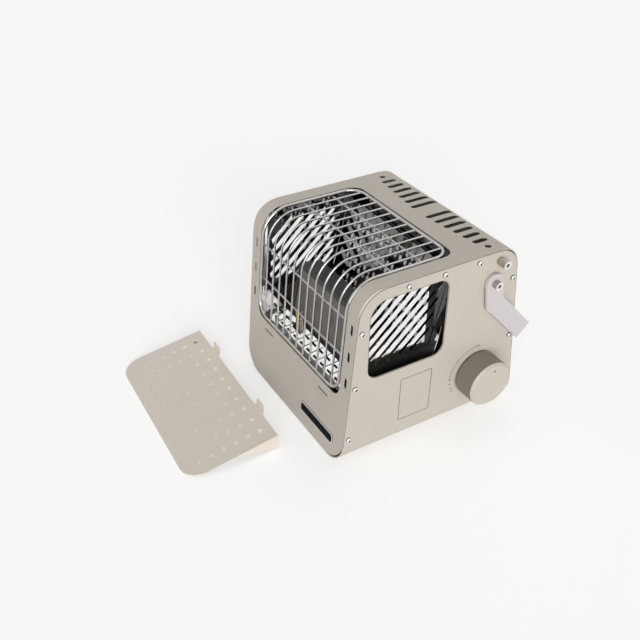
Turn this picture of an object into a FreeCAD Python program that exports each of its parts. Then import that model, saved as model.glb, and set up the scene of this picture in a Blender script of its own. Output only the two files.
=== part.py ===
import FreeCAD, Part
import math
import os
from FreeCAD import Vector

# Portable cassette gas heater: a bent sheet casing, a wire guard over the front and top,
# polished reflectors round a ceramic burner, a gas bay behind them, a swinging strap
# handle, a control knob and a warming tray that hooks on the front or lies beside it.
# Millimetres, +Z up, +X towards the knob side, -Y towards the front. The origin is on
# the casing's flat underside, in its middle.

# Casing
WIDTH = 240.0
BASE_DEPTH = 257.0
HEIGHT = 234.5
FRONT_LEAN = 20.0
REAR_LEAN = 27.0
SHEET = 1.2
SEAM = 0.2
FRONT_BEND = 32.0
REAR_BEND = 25.0
BASE_BEND = 33.0
PANEL_CORNER_EXTRA = 5.0
PANEL_EDGE_INSET = 0.3
APRON_CORNER_EXTRA = 3.5
FLANGE_DEPTH = 12.0
FLANGE_END_GAP = 4.0

# Opening over the front and top, and the wire guard in it
OPENING_WIDTH = 200.0
OPENING_LOW = 90.0
OPENING_REAR = 28.0
OPENING_CORNER = 15.0
GUARD_EDGE_GAP = 2.4
GUARD_FRAME_WIRE = 4.0
GUARD_WIRE = 2.6
GUARD_CROSS_WIRE = 2.4
WELD_GAP = 0.05
GUARD_WIRE_COUNT = 11
GUARD_WIRE_PITCH = 16.2
GUARD_CORNER = 20.0
GUARD_BEND = 36.0
WIRE_SIDES = 8
GUARD_FRONT_CROSS_HEIGHTS = (143.0, 189.0)
GUARD_TOP_CROSS_DEPTHS = (-52.0, -12.0)
CLIP_REACH = 3.4
CLIP_FOOT = 2.8
CLIP_TOP_DEPTHS = (-32.0, 4.0)
CLIP_FRONT_HEIGHTS = (124.0, 168.0)
CLIP_CROSS_PLACE = 56.7
CLIP_SHEET = 1.0
CLIP_WIDTH = 12.0

# Vents on the rear of the top
VENT_PITCH = 15.0
VENT_PAIRS = 6
VENT_CENTRE_LENGTH = 36.0
VENT_LENGTH_STEP = 3.6
VENT_WIDTH = 6.0
VENT_LINE = 69.8
VENT_HOLE_PLACE = 104.5
HOLE_SIDES = 12

# Slots in the strips beside the opening, and the slits for the tray hooks
STRIP_SLOT_HEIGHTS = (117.5, 152.0, 186.5)
STRIP_SLOT_WIDTH = 3.4
STRIP_SLOT_LENGTH = 12.0
STRIP_SLOT_PLACE = 109.5
HOOK_SPACING = 134.0
HOOK_SLIT_WIDTH = 22.0
HOOK_SLIT_HEIGHT = 78.0
HOOK_SLIT_GAP = 2.6

# Side windows
WINDOW_FRONT = -96.0
WINDOW_REAR = 6.5
WINDOW_LOW = 119.5
WINDOW_DROP = 14.5
WINDOW_HIGH = HEIGHT - WINDOW_DROP
WINDOW_CORNER = 14.0

# Panel screws
SCREW_SIDES = 8
SCREW_SHANK = 3.0
SCREW_HOLE = 3.2
SCREW_HEAD = 6.4
SCREW_CROWN = 4.5
SCREW_HEAD_HEIGHT = 2.0
SCREW_LENGTH = 7.0
SCREW_EDGE = 6.6
SCREW_TOP_DROP = 7.6
SCREW_TOP_PLACES = (-49.0, -1.5, 46.0)
SCREW_FRONT_HEIGHTS = (42.0, 114.0, 186.0)
SCREW_REAR_HEIGHTS = (41.0, 108.0, 192.0)

# Badge on the front
BADGE_PLACE = 62.0
BADGE_HEIGHT = 28.5
BADGE_LENGTH = 75.0
BADGE_WIDTH = 15.0
BADGE_THICK = 1.6
BADGE_RIM = 1.6
BADGE_RECESS = 0.6

# Handle
PIVOT_DEPTH = 68.2
PIVOT_DROP = 37.5
PIVOT_HEIGHT = HEIGHT - PIVOT_DROP
STOP_DEPTH = 75.7
STOP_DROP = 12.5
STOP_HEIGHT = HEIGHT - STOP_DROP
PIN_DIAMETER = 10.0
PIN_REACH = 13.5
PIVOT_SHANK = 6.0
PIVOT_PLAY = 0.05
STRAP_WIDTH = 24.0
STRAP_THICK = 3.0
STRAP_OFFSET = 3.0
STRAP_PLAY = 0.2
STRAP_UPPER = 28.0
STRAP_LOWER = 81.0
STRAP_UPPER_ANGLE = -81.0
STRAP_LOWER_ANGLE = -47.0
STRAP_BEND = 4.0
STRAP_TURN = 20.0
STRAP_INNER_CURVE = 4.0
HANDLE_SCREW_INSIDE = 6.0
HEX_SOCKET = 2.8
NUT_THICK = 4.0
NUT_RADIUS = 5.0

# Gas bay behind the reflectors
CARTRIDGE_RADIUS = 33.5
CARTRIDGE_DEPTH = 66.0
CARTRIDGE_HEIGHT = 62.0
CARTRIDGE_LENGTH = 186.0
SHIELD_SHEET = 1.0
SHIELD_DEPTH = 24.0
SHIELD_HEIGHT = 104.0
SHIELD_STRIP_DROP = 10.0
SHIELD_STRIP_WIDTH = 18.0
SHIELD_STRIP_FRONT = -50.0
SHIELD_STRIP_REAR = -8.0
SHIELD_STRIP_FLANGE = 6.0
CRADLE_GAP = 0.5
CRADLE_SHEET = 1.5
CRADLE_HALF_ANGLE = 55.0
CRADLE_LENGTH = 150.0

# Knob, valve and regulator
KNOB_DEPTH = 61.0
KNOB_HEIGHT = 71.2
KNOB_RADIUS = 30.0
KNOB_REACH = 29.0
KNOB_GAP = 3.0
KNOB_CHAMFER = 3.0
KNOB_WALL = 3.0
KNOB_HUB_RADIUS = 9.0
KNOB_RIBS = 72
KNOB_RIB_DEPTH = 0.5
KNOB_POINTER_ANGLE = 83.0
KNOB_POINTER_RADIUS = 19.6
STEM_RADIUS = 4.0
STEM_PLAY = 0.06
STEM_IN_VALVE = 14.0
STEM_IN_KNOB = 18.0
VALVE_RADIUS = 15.0
VALVE_LENGTH = 10.0
BRACKET_SHEET = 1.5
REGULATOR_LENGTH = 34.0
REGULATOR_WIDTH = 52.0
REGULATOR_CORNER = 8.0
SOCKET_RADIUS = 20.0
SOCKET_BORE = 8.0
SOCKET_BORE_DEPTH = 12.0
MAGNET_THICK = 3.0
MAGNET_BORE = 12.0
PIPE_PLACE = 96.0
PIPE_BEND = 12.0
PIEZO_WIDTH = 10.0
PIEZO_LENGTH = 40.0

# Chamber and reflectors
REFLECTOR_SHEET = 1.0
REFLECTOR_PLACE = 105.0
CHAMBER_FLOOR = 87.0
REFLECTOR_TOP_DROP = 15.0
REFLECTOR_TOP = HEIGHT - REFLECTOR_TOP_DROP
REFLECTOR_FRONT_GAP = 12.0
REFLECTOR_LOW = 115.0
CHAMBER_WALL_TOP = 124.0
FLOOR_FRONT_GAP = 8.0
REAR_REFLECTOR_HALF = 116.5
REAR_REFLECTOR_STEP = 13.5
REAR_REFLECTOR_LOW_DEPTH = -11.0
REAR_REFLECTOR_TOP_DEPTH = 19.0
SIDE_SLOT_WIDTH = 4.2
SIDE_SLOT_PITCH = 16.0
SIDE_SLOT_RISE = 43.0
SIDE_SLOT_LOW = 126.0
SIDE_SLOT_DROP = 24.0
SIDE_SLOT_HIGH = HEIGHT - SIDE_SLOT_DROP
SIDE_SLOT_END_GAP = 7.0
SIDE_SLOT_START = -76.0
SIDE_SLOT_EXTRA = 5
SIDE_SLOT_COUNT = 11
SIDE_SLOT_SHORTEST = 10.0
REAR_SLOT_WIDTH = 4.5
REAR_SLOT_PITCH = 10.0
REAR_SLOT_COUNT = 17
REAR_SLOT_LOW = 110.0
REAR_SLOT_HIGH = 206.0
REAR_SLOT_ROWS = 4
REAR_SLOT_BRIDGE = 8.0
FRONT_SLOT_COUNT = 12
FRONT_SLOT_LENGTH = 11.0
FRONT_SLOT_SPREAD = 5.0

# Burner
BURNER_LEAN = 11.0
BURNER_WIDTH = 124.0
BURNER_HEIGHT = 72.0
BURNER_THICK = 30.0
BURNER_FACE_DEPTH = -91.0
BURNER_FACE_LOW = 101.0
BURNER_WALL = 1.0
TILE_THICK = 8.0
TILE_GAP = 0.3
MESH_THICK = 1.0
FRAME_RIM = 5.0
FRAME_THICK = 1.2
BRACKET_EDGE = 5.0
BRACKET_RISE = 30.0
BRACKET_FOOT = 10.0
MIXER_RADIUS = 9.0
MIXER_WALL = 1.2
MIXER_MOUTH = 13.0
MIXER_LOW = 50.0
JET_RADIUS = 7.0
JET_HEIGHT = 22.0
JET_TIP_GAP = 4.0
GAS_TUBE_RADIUS = 2.5
ELECTRODE_PLACE = -25.0
SENSOR_PLACE = -36.0
ELECTRODE_DEPTH = -97.0
ELECTRODE_RADIUS = 2.5
ELECTRODE_LENGTH = 26.0
SENSOR_LOW = 90.0
SWITCH_PLACE_X = -60.0
SWITCH_PLACE_Y = -60.0
SWITCH_HEIGHT = 24.0
SWITCH_WIDTH = 20.0
SWITCH_DEPTH = 16.0
SWITCH_EAR = 5.0
SWITCH_FOOT = 1.5

# Rear door of the gas bay
DOOR_WIDTH = 204.0
DOOR_LOW = 26.0
DOOR_HIGH = 96.0
DOOR_OVERLAP = 3.0
DOOR_GAP = 0.3
DOOR_CORNER = 6.0
HINGE_RADIUS = 2.4
HINGE_PIN_RADIUS = 1.2
HINGE_PLAY = 0.05
HINGE_KNUCKLE = 16.0
HINGE_PLACE = 70.0
HINGE_LENGTH = 36.0
HINGE_LEAF = 14.0
DOOR_LIP = 40.0
DOOR_LIP_REACH = 6.0
CATCH_HALF = 12.0
CATCH_DEPTH = 9.0

# Warming tray, lying beside the heater
TRAY_WIDTH = 244.0
TRAY_DEPTH = 116.5
TRAY_RISE = 21.0
TRAY_CORNER = 26.0
TRAY_TURN = -1.3
TRAY_MIDDLE = -69.0
TRAY_REAR_EDGE = -171.0
TRAY_HOLE = 6.0
TRAY_HOLE_COLUMNS = 10
TRAY_HOLE_ROWS = 6
TRAY_HOLE_PITCH_X = 22.6
TRAY_HOLE_PITCH_Y = 16.1
TRAY_HOLE_FIRST = 14.2
GUSSET_LENGTH = 58.0
HOOK_WIDTH = 20.0
HOOK_REACH = 4.0
HOOK_RISE = 9.0

HALF = WIDTH / 2
FRONT_ANGLE = math.degrees(math.atan2(FRONT_LEAN, HEIGHT))
REAR_ANGLE = math.degrees(math.atan2(REAR_LEAN, HEIGHT))
INNER_HALF = HALF - SHEET
COVER_HALF = INNER_HALF - SEAM
APRON_LOW = SHEET + SEAM
UP = Vector(0, 0, 1)
ALONG_X = Vector(1, 0, 0)
ALONG_Y = Vector(0, 1, 0)


def front_y(z):
    """Depth of the casing's outer front face at a height."""
    return -BASE_DEPTH / 2 + z * FRONT_LEAN / HEIGHT


def rear_y(z):
    """Depth of the casing's outer rear face at a height."""
    return BASE_DEPTH / 2 - z * REAR_LEAN / HEIGHT


def rear_reflector_y(z):
    """Depth of the rear reflector's front face at a height."""
    run = (z - CHAMBER_FLOOR) / (REFLECTOR_TOP - CHAMBER_FLOOR)
    return REAR_REFLECTOR_LOW_DEPTH + run * (REAR_REFLECTOR_TOP_DEPTH - REAR_REFLECTOR_LOW_DEPTH)


def path_edges(points, radii, closed):
    """Straight runs through the points, with a tangent arc at each point that has a radius."""
    count = len(points)
    starts = []
    ends = []
    arcs = []
    for index, point in enumerate(points):
        turned = radii[index] > 0 and (closed or 0 < index < count - 1)
        if not turned:
            starts.append(point)
            ends.append(point)
            arcs.append(None)
            continue
        before = (points[index - 1] - point).normalize()
        after = (points[(index + 1) % count] - point).normalize()
        half = before.getAngle(after) / 2
        bisector = (before + after).normalize()
        reach = radii[index] / math.tan(half)
        start = point + before * reach
        end = point + after * reach
        centre = point + bisector * (radii[index] / math.sin(half))
        starts.append(start)
        ends.append(end)
        arcs.append(Part.Arc(start, centre - bisector * radii[index], end).toShape())
    edges = []
    for index in range(count):
        if arcs[index] is not None:
            edges.append(arcs[index])
        following = (index + 1) % count
        if following == 0 and not closed:
            break
        if (starts[following] - ends[index]).Length > 1e-6:
            edges.append(Part.LineSegment(ends[index], starts[following]).toShape())
    return edges


def prism(points, radii, sweep):
    """Solid swept from the closed outline through the points."""
    if not isinstance(radii, (list, tuple)):
        radii = [radii] * len(points)
    outline = Part.Wire(path_edges(points, radii, True))
    return Part.Face(outline).extrude(sweep)


def rod(start, direction, radius, length):
    """Round bar from a point along a direction."""
    return Part.makeCylinder(radius, length, start, direction)


def ring_points(middle, direction, radius, sides):
    """Corners of a regular outline round a point, square to a direction."""
    along = Vector(direction).normalize()
    first = UP if abs(along.dot(ALONG_X)) > 0.7 else ALONG_X
    across = along.cross(first).normalize()
    upright = across.cross(along)
    corners = []
    for index in range(sides):
        angle = 2 * math.pi * index / sides
        corners.append(middle + upright * (radius * math.cos(angle)) + across * (radius * math.sin(angle)))
    return corners


def sided_rod(start, direction, radius, length, sides):
    """Bar with flat sides and its corners on a circle, for small parts that repeat."""
    return prism(ring_points(start, direction, radius, sides), 0, direction * length)


def sided_hole(start, direction, radius, length, sides):
    """Cutter with flat sides that just clears a bar of the radius."""
    return sided_rod(start, direction, radius / math.cos(math.pi / sides), length, sides)


def tube(start, direction, radius, bore, length):
    """Round bar with a through bore."""
    return rod(start, direction, radius, length).cut(rod(start, direction, bore, length))


def box(low, high):
    """Block between two corners."""
    size = high - low
    return Part.makeBox(size.x, size.y, size.z, low)


def bent_wire(points, radii, radius):
    """Wire along straight runs and tangent arcs, its section a fine regular outline."""
    spine = Part.Wire(path_edges(points, radii, False))
    corners = ring_points(points[0], points[1] - points[0], radius, WIRE_SIDES)
    section = Part.makePolygon(corners + [corners[0]])
    return spine.makePipeShell([section], True, False)


def mirrored(shape):
    """The same piece on the other side of the casing's middle plane."""
    return shape.mirror(Vector(0, 0, 0), ALONG_X)


def group(shapes):
    """Separate solids kept side by side in one node."""
    return Part.makeCompound([solid for shape in shapes for solid in shape.Solids])


def save(shape, node):
    """Write one node to its file."""
    shape.exportStep("parts/" + node + ".step")


def side_outline(x, inset, front_radius, rear_radius, low):
    """Corner points and radii of the casing's side outline, moved inwards by an inset."""
    front_shift = inset / math.cos(math.radians(FRONT_ANGLE))
    rear_shift = inset / math.cos(math.radians(REAR_ANGLE))
    high = HEIGHT - inset
    points = [
        Vector(x, front_y(low) + front_shift, low),
        Vector(x, front_y(high) + front_shift, high),
        Vector(x, rear_y(high) - rear_shift, high),
        Vector(x, rear_y(low) - rear_shift, low),
    ]
    return points, [0, front_radius, rear_radius, 0]


def on_front(shape, height):
    """Stand a piece modelled upright at y = 0 on the leaning front face, at a height."""
    placed = shape.copy()
    placed.rotate(Vector(0, 0, 0), ALONG_X, -FRONT_ANGLE)
    placed.translate(Vector(0, front_y(height), height))
    return placed


def screw_places():
    """Depth and height of each screw in a side panel."""
    places = [(depth, HEIGHT - SCREW_TOP_DROP) for depth in SCREW_TOP_PLACES]
    places += [(front_y(height) + SCREW_EDGE, height) for height in SCREW_FRONT_HEIGHTS]
    places += [(rear_y(height) - SCREW_EDGE, height) for height in SCREW_REAR_HEIGHTS]
    return places


def screw_holes(start, length):
    """Cutters for the screws of the right side, from an X position outwards."""
    return [sided_hole(Vector(start, y, z), ALONG_X, SCREW_HOLE / 2, length, SCREW_SIDES)
            for y, z in screw_places()]


def hook_slits(height, gap, reach):
    """Cutters for the two slits that take the tray's hooks."""
    slits = []
    for side in (-1, 1):
        middle = side * HOOK_SPACING / 2
        slits.append(box(
            Vector(middle - HOOK_SLIT_WIDTH / 2, front_y(height) - reach, height - gap / 2),
            Vector(middle + HOOK_SLIT_WIDTH / 2, front_y(height) + reach, height + gap / 2),
        ))
    return slits


def slot_points(middle, length, width):
    """Corners of a slot along Y whose round ends are made of short flats."""
    points = []
    half_sides = HOLE_SIDES // 2
    for end in (1, -1):
        centre = middle + ALONG_Y * (end * (length - width) / 2)
        for step in range(half_sides + 1):
            angle = math.pi * step / half_sides
            points.append(centre + Vector(math.cos(angle), math.sin(angle), 0) * (end * width / 2))
    return points


def vent_cutters():
    """Long slots and end holes across the rear of the top, longest in the middle."""
    low = HEIGHT - REAR_BEND
    reach = HEIGHT + 1 - low
    cutters = []
    for step in range(1, VENT_PAIRS + 1):
        length = VENT_CENTRE_LENGTH - (step - 1) * VENT_LENGTH_STEP
        for side in (-1, 1):
            outline = slot_points(Vector(side * step * VENT_PITCH, VENT_LINE, low), length, VENT_WIDTH)
            cutters.append(prism(outline, 0, UP * reach))
    for side in (-1, 1):
        place = Vector(side * VENT_HOLE_PLACE, VENT_LINE, low)
        cutters.append(sided_rod(place, UP, VENT_WIDTH / 2, reach, HOLE_SIDES))
    return cutters


def opening_cutters():
    """Cutters for the opening that runs from the front over the bend onto the top."""
    half = OPENING_WIDTH / 2
    over = HEIGHT + 10
    front = -BASE_DEPTH / 2 - 5
    front_corners = [
        Vector(-half, front, OPENING_LOW), Vector(half, front, OPENING_LOW),
        Vector(half, front, over), Vector(-half, front, over),
    ]
    top_low = HEIGHT - FRONT_BEND - 5
    top_corners = [
        Vector(-half, front, top_low), Vector(half, front, top_low),
        Vector(half, OPENING_REAR, top_low), Vector(-half, OPENING_REAR, top_low),
    ]
    radii_front = [OPENING_CORNER, OPENING_CORNER, 0, 0]
    radii_top = [0, 0, OPENING_CORNER, OPENING_CORNER]
    depth = front_y(HEIGHT) + FRONT_BEND - front
    return [
        prism(front_corners, radii_front, ALONG_Y * depth),
        prism(top_corners, radii_top, UP * (over - top_low)),
    ]


def cover_flange():
    """Screw flange folded back along the front, top and rear edges, with open corners."""
    outer_x = COVER_HALF - SHEET
    outer, outer_radii = side_outline(outer_x, 0, FRONT_BEND, REAR_BEND, APRON_LOW)
    inner, inner_radii = side_outline(outer_x, FLANGE_DEPTH, FRONT_BEND - FLANGE_DEPTH,
                                      REAR_BEND - FLANGE_DEPTH, APRON_LOW)
    inner[0].z -= FLANGE_DEPTH
    inner[3].z -= FLANGE_DEPTH
    ring = prism(outer, outer_radii, ALONG_X * SHEET).cut(prism(inner, inner_radii, ALONG_X * SHEET))
    side_low = APRON_LOW + BASE_BEND + FLANGE_END_GAP
    front_high = HEIGHT - FRONT_BEND - FLANGE_END_GAP
    rear_high = HEIGHT - REAR_BEND - FLANGE_END_GAP
    top_front = front_y(HEIGHT) + FRONT_BEND + FLANGE_END_GAP
    top_rear = min(rear_y(HEIGHT) - REAR_BEND - FLANGE_END_GAP, STOP_DEPTH - NUT_RADIUS - 1)
    reach = BASE_DEPTH
    keep = [
        box(Vector(outer_x, -reach, side_low), Vector(COVER_HALF, 0, front_high)),
        box(Vector(outer_x, 0, side_low), Vector(COVER_HALF, reach, rear_high)),
        box(Vector(outer_x, top_front, HEIGHT / 2), Vector(COVER_HALF, top_rear, HEIGHT)),
    ]
    return [ring.common(part) for part in keep]


def door_opening_cutter():
    """Cutter for the gas bay's opening in the rear sheet."""
    half = DOOR_WIDTH / 2
    y = rear_y(DOOR_HIGH) - 10
    corners = [Vector(-half, y, DOOR_LOW), Vector(half, y, DOOR_LOW),
               Vector(half, y, DOOR_HIGH), Vector(-half, y, DOOR_HIGH)]
    return prism(corners, DOOR_CORNER, ALONG_Y * 40)


def apron_corner_cutters():
    """Cutters that round the lower corners of the front and rear sheets in their plane."""
    radius = BASE_BEND + APRON_CORNER_EXTRA
    cutters = []
    for side in (-1, 1):
        corner = Vector(side * COVER_HALF, -BASE_DEPTH, APRON_LOW)
        block = box(Vector(min(corner.x, corner.x - side * radius), -BASE_DEPTH, APRON_LOW),
                    Vector(max(corner.x, corner.x - side * radius), BASE_DEPTH, APRON_LOW + radius))
        pivot = Vector(corner.x - side * radius, -BASE_DEPTH, APRON_LOW + radius)
        cutters.append(block.cut(rod(pivot, ALONG_Y, radius, 2 * BASE_DEPTH)))
    return cutters


def front_top_cover():
    """Front, top and rear in one bent sheet."""
    outer, outer_radii = side_outline(-COVER_HALF, 0, FRONT_BEND, REAR_BEND, APRON_LOW)
    inner, inner_radii = side_outline(-COVER_HALF, SHEET, FRONT_BEND - SHEET,
                                      REAR_BEND - SHEET, APRON_LOW)
    inner[0] = inner[0] + (inner[0] - inner[1]) * 0.1
    inner[3] = inner[3] + (inner[3] - inner[2]) * 0.1
    span = ALONG_X * (2 * COVER_HALF)
    shell = prism(outer, outer_radii, span).cut(prism(inner, inner_radii, span))
    shell = shell.cut(opening_cutters() + vent_cutters() + apron_corner_cutters())
    shell = shell.cut(hook_slits(HOOK_SLIT_HEIGHT, HOOK_SLIT_GAP, SHEET * 3))
    shell = shell.cut(door_opening_cutter())
    slots = []
    for side in (-1, 1):
        for height in STRIP_SLOT_HEIGHTS:
            x = side * STRIP_SLOT_PLACE
            corners = [
                Vector(x - STRIP_SLOT_WIDTH / 2, front_y(height) - 5, height - STRIP_SLOT_LENGTH / 2),
                Vector(x + STRIP_SLOT_WIDTH / 2, front_y(height) - 5, height - STRIP_SLOT_LENGTH / 2),
                Vector(x + STRIP_SLOT_WIDTH / 2, front_y(height) - 5, height + STRIP_SLOT_LENGTH / 2),
                Vector(x - STRIP_SLOT_WIDTH / 2, front_y(height) - 5, height + STRIP_SLOT_LENGTH / 2),
            ]
            slots.append(prism(corners, STRIP_SLOT_WIDTH / 2 - 0.01, ALONG_Y * 10))
    shell = shell.cut(slots)
    flanges = cover_flange()
    flanges += [mirrored(flange) for flange in flanges]
    shell = shell.fuse(flanges)
    holes = screw_holes(COVER_HALF - SHEET * 2, SHEET * 3)
    shell = shell.cut(holes + [mirrored(hole) for hole in holes])
    return shell.removeSplitter()


def window_cutter():
    """Cutter for the window in the right side panel."""
    x = INNER_HALF - 5
    front_top = max(WINDOW_FRONT, front_y(WINDOW_HIGH) + SCREW_EDGE * 2)
    corners = [Vector(x, WINDOW_FRONT, WINDOW_LOW), Vector(x, WINDOW_REAR, WINDOW_LOW),
               Vector(x, WINDOW_REAR, WINDOW_HIGH), Vector(x, front_top, WINDOW_HIGH)]
    radii = [WINDOW_CORNER, WINDOW_CORNER, WINDOW_CORNER, WINDOW_CORNER + 8]
    return prism(corners, radii, ALONG_X * 10)


def side_base_shell():
    """Both side panels and the base in one bent sheet."""
    reach = BASE_DEPTH
    outer = [Vector(-HALF, -reach / 2, HEIGHT), Vector(-HALF, -reach / 2, 0),
             Vector(HALF, -reach / 2, 0), Vector(HALF, -reach / 2, HEIGHT)]
    inner = [Vector(-INNER_HALF, -reach / 2, HEIGHT + 1), Vector(-INNER_HALF, -reach / 2, SHEET),
             Vector(INNER_HALF, -reach / 2, SHEET), Vector(INNER_HALF, -reach / 2, HEIGHT + 1)]
    bend = [0, BASE_BEND, BASE_BEND, 0]
    inner_bend = [0, BASE_BEND - SHEET, BASE_BEND - SHEET, 0]
    trough = prism(outer, bend, ALONG_Y * reach).cut(prism(inner, inner_bend, ALONG_Y * reach))
    points, radii = side_outline(-HALF, PANEL_EDGE_INSET, FRONT_BEND + PANEL_CORNER_EXTRA,
                                 REAR_BEND + PANEL_CORNER_EXTRA, 0)
    shell = trough.common(prism(points, radii, ALONG_X * WIDTH))
    right = [window_cutter()] + screw_holes(INNER_HALF - 1, SHEET + 2)
    for y, z in ((PIVOT_DEPTH, PIVOT_HEIGHT), (STOP_DEPTH, STOP_HEIGHT)):
        right.append(rod(Vector(INNER_HALF - 1, y, z), ALONG_X, PIVOT_SHANK / 2, SHEET + 2))
    shell = shell.cut(right + [mirrored(cutter) for cutter in right])
    stem_hole = rod(Vector(INNER_HALF - 1, KNOB_DEPTH, KNOB_HEIGHT), ALONG_X, STEM_RADIUS + 1, SHEET + 2)
    return shell.cut(stem_hole)


def cover_screws():
    """Pan head screws that hold the side panels to the cover's flanges."""
    screws = []
    for y, z in screw_places():
        seat = ring_points(Vector(HALF, y, z), ALONG_X, SCREW_HEAD / 2, HOLE_SIDES)
        crown = ring_points(Vector(HALF + SCREW_HEAD_HEIGHT, y, z), ALONG_X, SCREW_CROWN / 2, HOLE_SIDES)
        head = Part.makeLoft([Part.makePolygon(ring + [ring[0]]) for ring in (seat, crown)], True, True)
        shank = sided_rod(Vector(HALF - SCREW_LENGTH, y, z), ALONG_X, SCREW_SHANK / 2, SCREW_LENGTH,
                          SCREW_SIDES)
        screws.append(head.fuse(shank))
    return group(screws + [mirrored(screw) for screw in screws])


def guard_surface_y(z, depth):
    """Depth of a surface that lies inside the front face by a distance."""
    return front_y(z) + depth / math.cos(math.radians(FRONT_ANGLE))


GUARD_DEPTH = GUARD_FRAME_WIRE / 2 - 0.8
GUARD_HALF = OPENING_WIDTH / 2 - GUARD_EDGE_GAP - GUARD_FRAME_WIRE / 2
GUARD_LOW = OPENING_LOW + GUARD_EDGE_GAP + GUARD_FRAME_WIRE / 2
GUARD_REAR = OPENING_REAR - GUARD_EDGE_GAP - GUARD_FRAME_WIRE / 2


def guard_frame():
    """Heavy wire round the edge of the guard, bent over the front edge."""
    top = HEIGHT - GUARD_DEPTH
    low_y = guard_surface_y(GUARD_LOW, GUARD_DEPTH)
    points = [
        Vector(0, low_y, GUARD_LOW),
        Vector(GUARD_HALF, low_y, GUARD_LOW),
        Vector(GUARD_HALF, guard_surface_y(top, GUARD_DEPTH), top),
        Vector(GUARD_HALF, GUARD_REAR, top),
        Vector(0, GUARD_REAR, top),
    ]
    half = bent_wire(points, [0, GUARD_CORNER, GUARD_BEND, GUARD_CORNER, 0], GUARD_FRAME_WIRE / 2)
    return half.fuse(mirrored(half)).removeSplitter()


def guard_long_wires():
    """Parallel wires that run up the front, over the bend and back along the top."""
    top = HEIGHT - GUARD_DEPTH
    inner_corner = GUARD_CORNER - GUARD_FRAME_WIRE / 2
    wires = []
    for index in range(GUARD_WIRE_COUNT):
        x = (index - (GUARD_WIRE_COUNT - 1) / 2) * GUARD_WIRE_PITCH
        into_corner = max(0, abs(x) + GUARD_WIRE / 2 - GUARD_HALF + GUARD_CORNER)
        rise = inner_corner - math.sqrt(inner_corner ** 2 - into_corner ** 2)
        end_gap = GUARD_FRAME_WIRE / 2 + WELD_GAP * 2 + rise
        low = GUARD_LOW + end_gap
        points = [
            Vector(x, guard_surface_y(low, GUARD_DEPTH), low),
            Vector(x, guard_surface_y(top, GUARD_DEPTH), top),
            Vector(x, GUARD_REAR - end_gap, top),
        ]
        wires.append(bent_wire(points, [0, GUARD_BEND, 0], GUARD_WIRE / 2))
    return group(wires)


def guard_cross_wires():
    """Cross wires welded under the long ones, two on the front and two on the top."""
    under = GUARD_DEPTH + (GUARD_WIRE + GUARD_CROSS_WIRE) / 2 + WELD_GAP
    offset = (GUARD_WIRE / 2) + WELD_GAP
    reach = GUARD_HALF - math.sqrt((GUARD_FRAME_WIRE / 2) ** 2 - offset ** 2) - WELD_GAP
    places = [(guard_surface_y(z, under), z) for z in GUARD_FRONT_CROSS_HEIGHTS]
    places += [(y, HEIGHT - under) for y in GUARD_TOP_CROSS_DEPTHS]
    radius = GUARD_CROSS_WIRE / 2
    return group([sided_rod(Vector(-reach, y, z), ALONG_X, radius, 2 * reach, WIRE_SIDES)
                  for y, z in places])


def clip(outward, inward):
    """One stepped tab: welded under the opening's edge, with its lip under the frame wire."""
    under_wire = GUARD_DEPTH + GUARD_FRAME_WIRE / 2
    lip = GUARD_EDGE_GAP + GUARD_FRAME_WIRE
    profile = [
        outward * -lip + inward * under_wire,
        outward * (CLIP_REACH - CLIP_FOOT) + inward * under_wire,
        outward * (CLIP_REACH - CLIP_FOOT) + inward * SHEET,
        outward * CLIP_REACH + inward * SHEET,
        outward * CLIP_REACH + inward * (under_wire + CLIP_SHEET),
        outward * -lip + inward * (under_wire + CLIP_SHEET),
    ]
    across = outward.cross(inward).normalize()
    tab = prism(profile, 0, across * CLIP_WIDTH)
    tab.translate(across * (-CLIP_WIDTH / 2))
    return tab


def guard_clips():
    """Tabs that hold the guard's frame wire, on the four edges of the opening."""
    down = UP * -1
    edge = OPENING_WIDTH / 2
    tabs = []
    for place in CLIP_TOP_DEPTHS:
        tab = clip(ALONG_X, down)
        tab.translate(Vector(edge, place, HEIGHT))
        tabs += [tab, mirrored(tab)]
    for height in CLIP_FRONT_HEIGHTS:
        tab = on_front(clip(ALONG_X, ALONG_Y), height)
        tab.translate(Vector(edge, 0, 0))
        tabs += [tab, mirrored(tab)]
    for side in (-1, 1):
        rear = clip(ALONG_Y, down)
        rear.translate(Vector(side * CLIP_CROSS_PLACE, OPENING_REAR, HEIGHT))
        low = on_front(clip(down, ALONG_Y), OPENING_LOW)
        low.translate(Vector(side * CLIP_CROSS_PLACE, 0, 0))
        tabs += [rear, low]
    return group(tabs)


def badge_plate():
    """Bare name plate with a raised rim, on the front's lower right."""
    def plate(inset, near, far):
        half_length = BADGE_LENGTH / 2 - inset
        half_width = BADGE_WIDTH / 2 - inset
        corners = [Vector(-half_length, near, -half_width), Vector(half_length, near, -half_width),
                   Vector(half_length, near, half_width), Vector(-half_length, near, half_width)]
        return prism(corners, half_width * 0.7, ALONG_Y * (far - near))
    badge = plate(0, -BADGE_THICK, 0).cut(plate(BADGE_RIM, -BADGE_THICK - 1, BADGE_RECESS - BADGE_THICK))
    badge = on_front(badge, BADGE_HEIGHT)
    badge.translate(Vector(BADGE_PLACE, 0, 0))
    return badge


def chamber_block(start, width, front_gap, low, high, corner):
    """Block between the front sheet and the rear reflector, as wide as asked."""
    points = [
        Vector(start, front_y(low) + front_gap, low),
        Vector(start, front_y(high) + front_gap, high),
        Vector(start, rear_reflector_y(high) - SEAM, high),
        Vector(start, rear_reflector_y(low) - SEAM, low),
    ]
    return prism(points, [0, corner, 0, 0], ALONG_X * width)


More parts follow.
